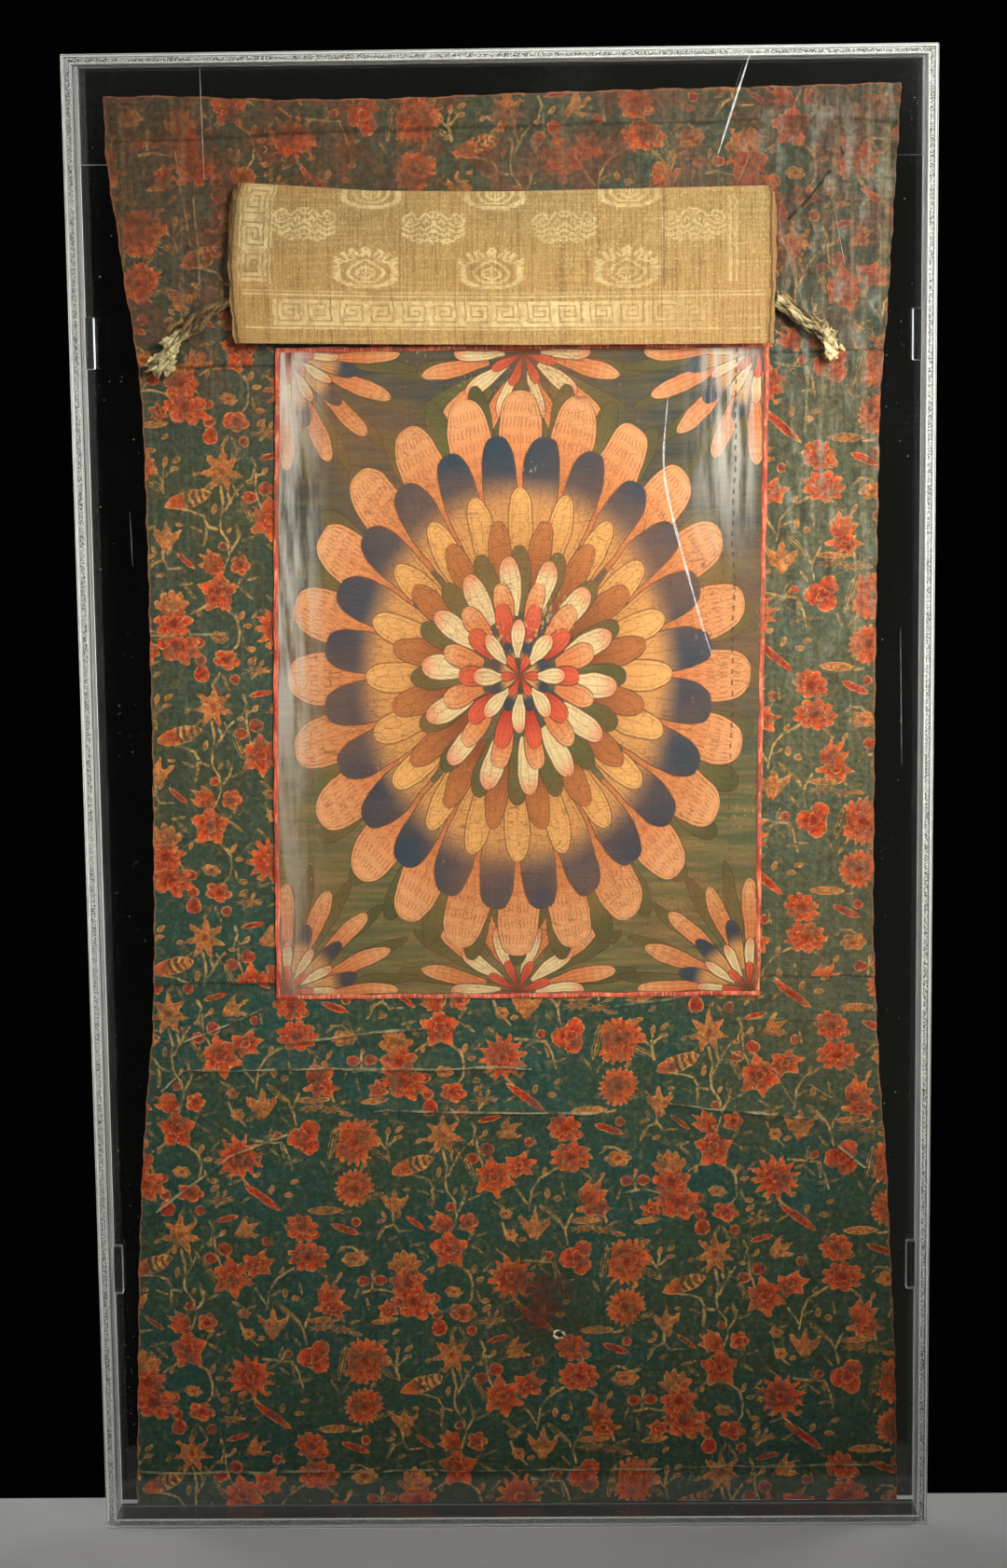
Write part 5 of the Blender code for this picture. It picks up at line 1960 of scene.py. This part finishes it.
SCRATCHES = {
    "scratch_upper_left": (((-0.1895, 0.972), (-0.189, 0.935), (-0.1884, 0.9)), 0.0004),
    "scratch_upper_right": (((0.1594, 0.9765), (0.15, 0.948), (0.1386, 0.913)), 0.0015),
    "scratch_arc": (
        ((0.106, 0.76), (0.1032, 0.718), (0.1085, 0.6845), (0.1252, 0.6216), (0.1342, 0.5924)), 0.0018,
    ),
    "scratch_left_side": (((-0.242, 0.69), (-0.2412, 0.655)), 0.00018),
    "scratch_right_side": (((0.256, 0.61), (0.2574, 0.52)), 0.00018),
    "scratch_right_edge": (((0.212, 0.88), (0.219, 0.842)), 0.0002),
}
SCRATCH_SPACING = 0.004
SCRATCH_Y = -0.02002
SCRATCH_THICKNESS = 0.00003


def add_scratch(name, points, width):
    """A tapered sliver on the front panel's outer face: a grid two faces wide along a smooth line."""
    rows = smooth_route([(*point, 1.0) for point in points], SCRATCH_SPACING)
    xs, zs = rows[:, 0], rows[:, 1]
    way = np.gradient(np.stack([xs, zs], 1), axis=0)
    way /= np.linalg.norm(way, axis=1)[:, None]

    def place(u, v):
        index = np.rint(v * (len(xs) - 1)).astype(int)
        half = width * (np.sin(np.pi * np.clip(v, 0.03, 0.97)) ** 0.5) * (0.8 + 0.2 * np.sin(40 * v))
        side = (u - 0.5) * half
        return xs[index] + side * way[index, 1], np.full_like(u, SCRATCH_Y), zs[index] - side * way[index, 0]

    mark = cloth_sheet(name, 2, len(xs) - 1, place, SCRATCH_THICKNESS)
    dress(mark, FAINT if name == "scratch_arc" else SCRATCHED)


SCRATCHED = pale_mark("scratched_acrylic", tint(206, 210, 208), 0.62)
FAINT = pale_mark("faint_scratch", tint(206, 210, 208), 0.4)
for name, (points, width) in SCRATCHES.items():
    add_scratch(name, points, width)
print("scratches:", len(SCRATCHES))

# %% Haze on the walls
def wall_finish():
    """The walls' inner faces look cloudy where they are seen nearly edge on, with finer lines along them."""
    net = new_finish("wall_haze", 0.7, Specular_IOR_Level=0.3)
    place = net.place()
    _, y, _ = net.split(place)
    grazing = band(net.out("ShaderNodeLayerWeight", {"Blend": 0.5}, "Facing"), 0.55, 0.9)
    lines = streaks(place, (3, 420, 3), 2)
    rims = band(abs(y), 0.0112, 0.0135)
    gap = line(y + 0.0085, 0.0028)
    alpha = grazing * most(band(lines, 0.4, 0.6, 0.25, 0.6), rims) * (1 - gap * 0.9) + 0.01
    grey = shade(noise(place, 40, 3), (140, 142, 140), (186, 186, 182))
    return net.coat(net.mix(rims, grey, tint(236, 236, 232)), alpha=alpha)


HAZE_MARGIN = 0.0006
HAZE_HALF_DEPTH = 0.0144
HAZE_THICKNESS = 0.00004
INNER_SIDE_X = 0.2717
INNER_TOP_Z = 0.9736


def level_place(level, axis):
    """A flat rectangle on a wall's inner face, at one x or one z."""
    half, low = CASE_WIDTH / 2 - WALL - HAZE_MARGIN, WALL + HAZE_MARGIN
    high = CASE_HEIGHT - WALL - HAZE_MARGIN

    def place(u, v):
        if axis == "z":
            return (2 * u - 1) * half, (2 * v - 1) * HAZE_HALF_DEPTH, np.full_like(u, level)
        return np.full_like(u, level), (2 * u - 1) * HAZE_HALF_DEPTH, low + (high - low) * v

    return place


WALL_HAZE = wall_finish()
HAZED = (("left", -INNER_SIDE_X, "x"), ("right", INNER_SIDE_X, "x"), ("top", INNER_TOP_Z, "z"))
for name, level, axis in HAZED:
    haze = cloth_sheet("wall_haze_" + name, 8, 8, level_place(level, axis), HAZE_THICKNESS, offset=0.0)
    dress(haze, WALL_HAZE)
print("haze on three walls")

# %% Dust inside the case
random.seed(5)
INNER_BACK_Y = 0.0148


def add_specks(count):
    """Lint on the inside of the back panel, beside the cloth."""
    specks = []
    for _ in range(count):
        side = random.choice((-1, 1))
        z = random.uniform(0.012, 0.965)
        edge = float(side_edge(np.array(z), "left" if side < 0 else "right"))
        x = random.uniform(abs(edge) + 0.002, 0.268) * side
        size = random.uniform(0.00012, 0.00034)
        place = (x, INNER_BACK_Y - size * 0.4, z)
        bpy.ops.mesh.primitive_ico_sphere_add(subdivisions=1, radius=size, location=place)
        speck = bpy.context.object
        speck.scale = (random.uniform(0.7, 1.8), 0.5, random.uniform(0.6, 1.2))
        specks.append(speck)
    dust = merged("dust_specks", specks)
    bpy.ops.object.transform_apply(location=True, rotation=True, scale=True)
    return dust


dust = add_specks(150)
lint = new_finish("lint", 0.9)
dress(dust, lint.coat(shade(noise(lint.place(), 60, 1), (150, 150, 142), (226, 226, 218))))
print("dust:", len(dust.data.polygons), "faces")

# %% [markdown]
# ## Floor and light
#
# The case stands on a plain pale floor. The lamps stand outside the directions that the front panel mirrors
# into the camera. The surroundings are dark, so the clear edges read as pale lines.

# %% Floor
FLOOR_WIDTH, FLOOR_DEPTH = 1.7, 0.15
FLOOR_SHIFT = -0.035
FLOOR_DROP = 0.0005


def add_floor():
    floor, flat = started("floor", bpy.ops.mesh.primitive_plane_add)
    across, deep = flat[:, 0] * FLOOR_WIDTH, flat[:, 1] * FLOOR_DEPTH + FLOOR_SHIFT
    move_points(floor.data, np.stack([across, deep, np.full_like(across, -FLOOR_DROP)], axis=1))
    net = new_finish("pale_floor", 0.85)
    wear(floor, net.coat(shade(noise(net.place(), 6), (172, 172, 170), (182, 182, 180))))


add_floor()


# %% Lamps and surroundings
def add_lamp(name, place, aim, width, height, watts, colour=(1, 1, 1), spread=180):
    bpy.ops.object.light_add(type="AREA", location=place)
    lamp = bpy.context.object
    lamp.name = name
    lamp.rotation_euler = (Vector(aim) - Vector(place)).to_track_quat("-Z", "Y").to_euler()
    lamp.data.shape = "RECTANGLE"
    lamp.data.size, lamp.data.size_y = width, height
    lamp.data.energy = watts
    lamp.data.spread = math.radians(spread)
    lamp.data.color = colour


add_lamp("key", (0.9, -1.2, 1.3), (0.1, 0, 0.68), 0.6, 0.72, 2.97, (1.0, 0.97, 0.92), 36)
add_lamp("fill", (-1.7, -1.7, 1.1), (0, 0, 0.5), 1.2, 1.4, 6, (0.94, 0.97, 1.0))
add_lamp("rear_right", (1.9, 1.7, 1.4), (0, 0, 0.5), 1.0, 1.2, 18)
add_lamp("rear_left", (-1.9, 1.7, 1.2), (0, 0, 0.5), 1.0, 1.2, 18)


def set_surroundings():
    """Diffuse light comes from a grey sky. The clear panels mirror a dim room, lighter high and right."""
    world = bpy.data.worlds.new("studio")
    world.use_nodes = True
    net = Net(world.node_tree)
    background = world.node_tree.nodes["Background"].inputs
    diffuse = net.out("ShaderNodeLightPath", output="Is Diffuse Ray")
    mirrored = net.out("ShaderNodeLightPath", output="Is Glossy Ray")
    x, _, z = net.split(net.out("ShaderNodeNewGeometry", output="Position"))
    room = band(x, -0.02, 0.14, 0.002, 0.0095) + band(z, 0.03, 0.08, 0, 0.008)
    dim = net.join(room * mirrored + 0.0006, room * mirrored + 0.0006, room * mirrored * 0.9 + 0.0006)
    net.feed(background["Color"], net.mix(diffuse, dim, (0.2, 0.2, 0.205, 1)))
    bpy.context.scene.world = world


set_surroundings()
bpy.context.scene.view_settings.view_transform = "Standard"

# %% [markdown]
# ## Say what is soft, and finish
#
# The two boxes that are written show that the dressed part is as large as its solids.

for name, diameter in (("tie_left", 0.01), ("tie_right", 0.0086)):
    points, _ = TIE_LINES[name]
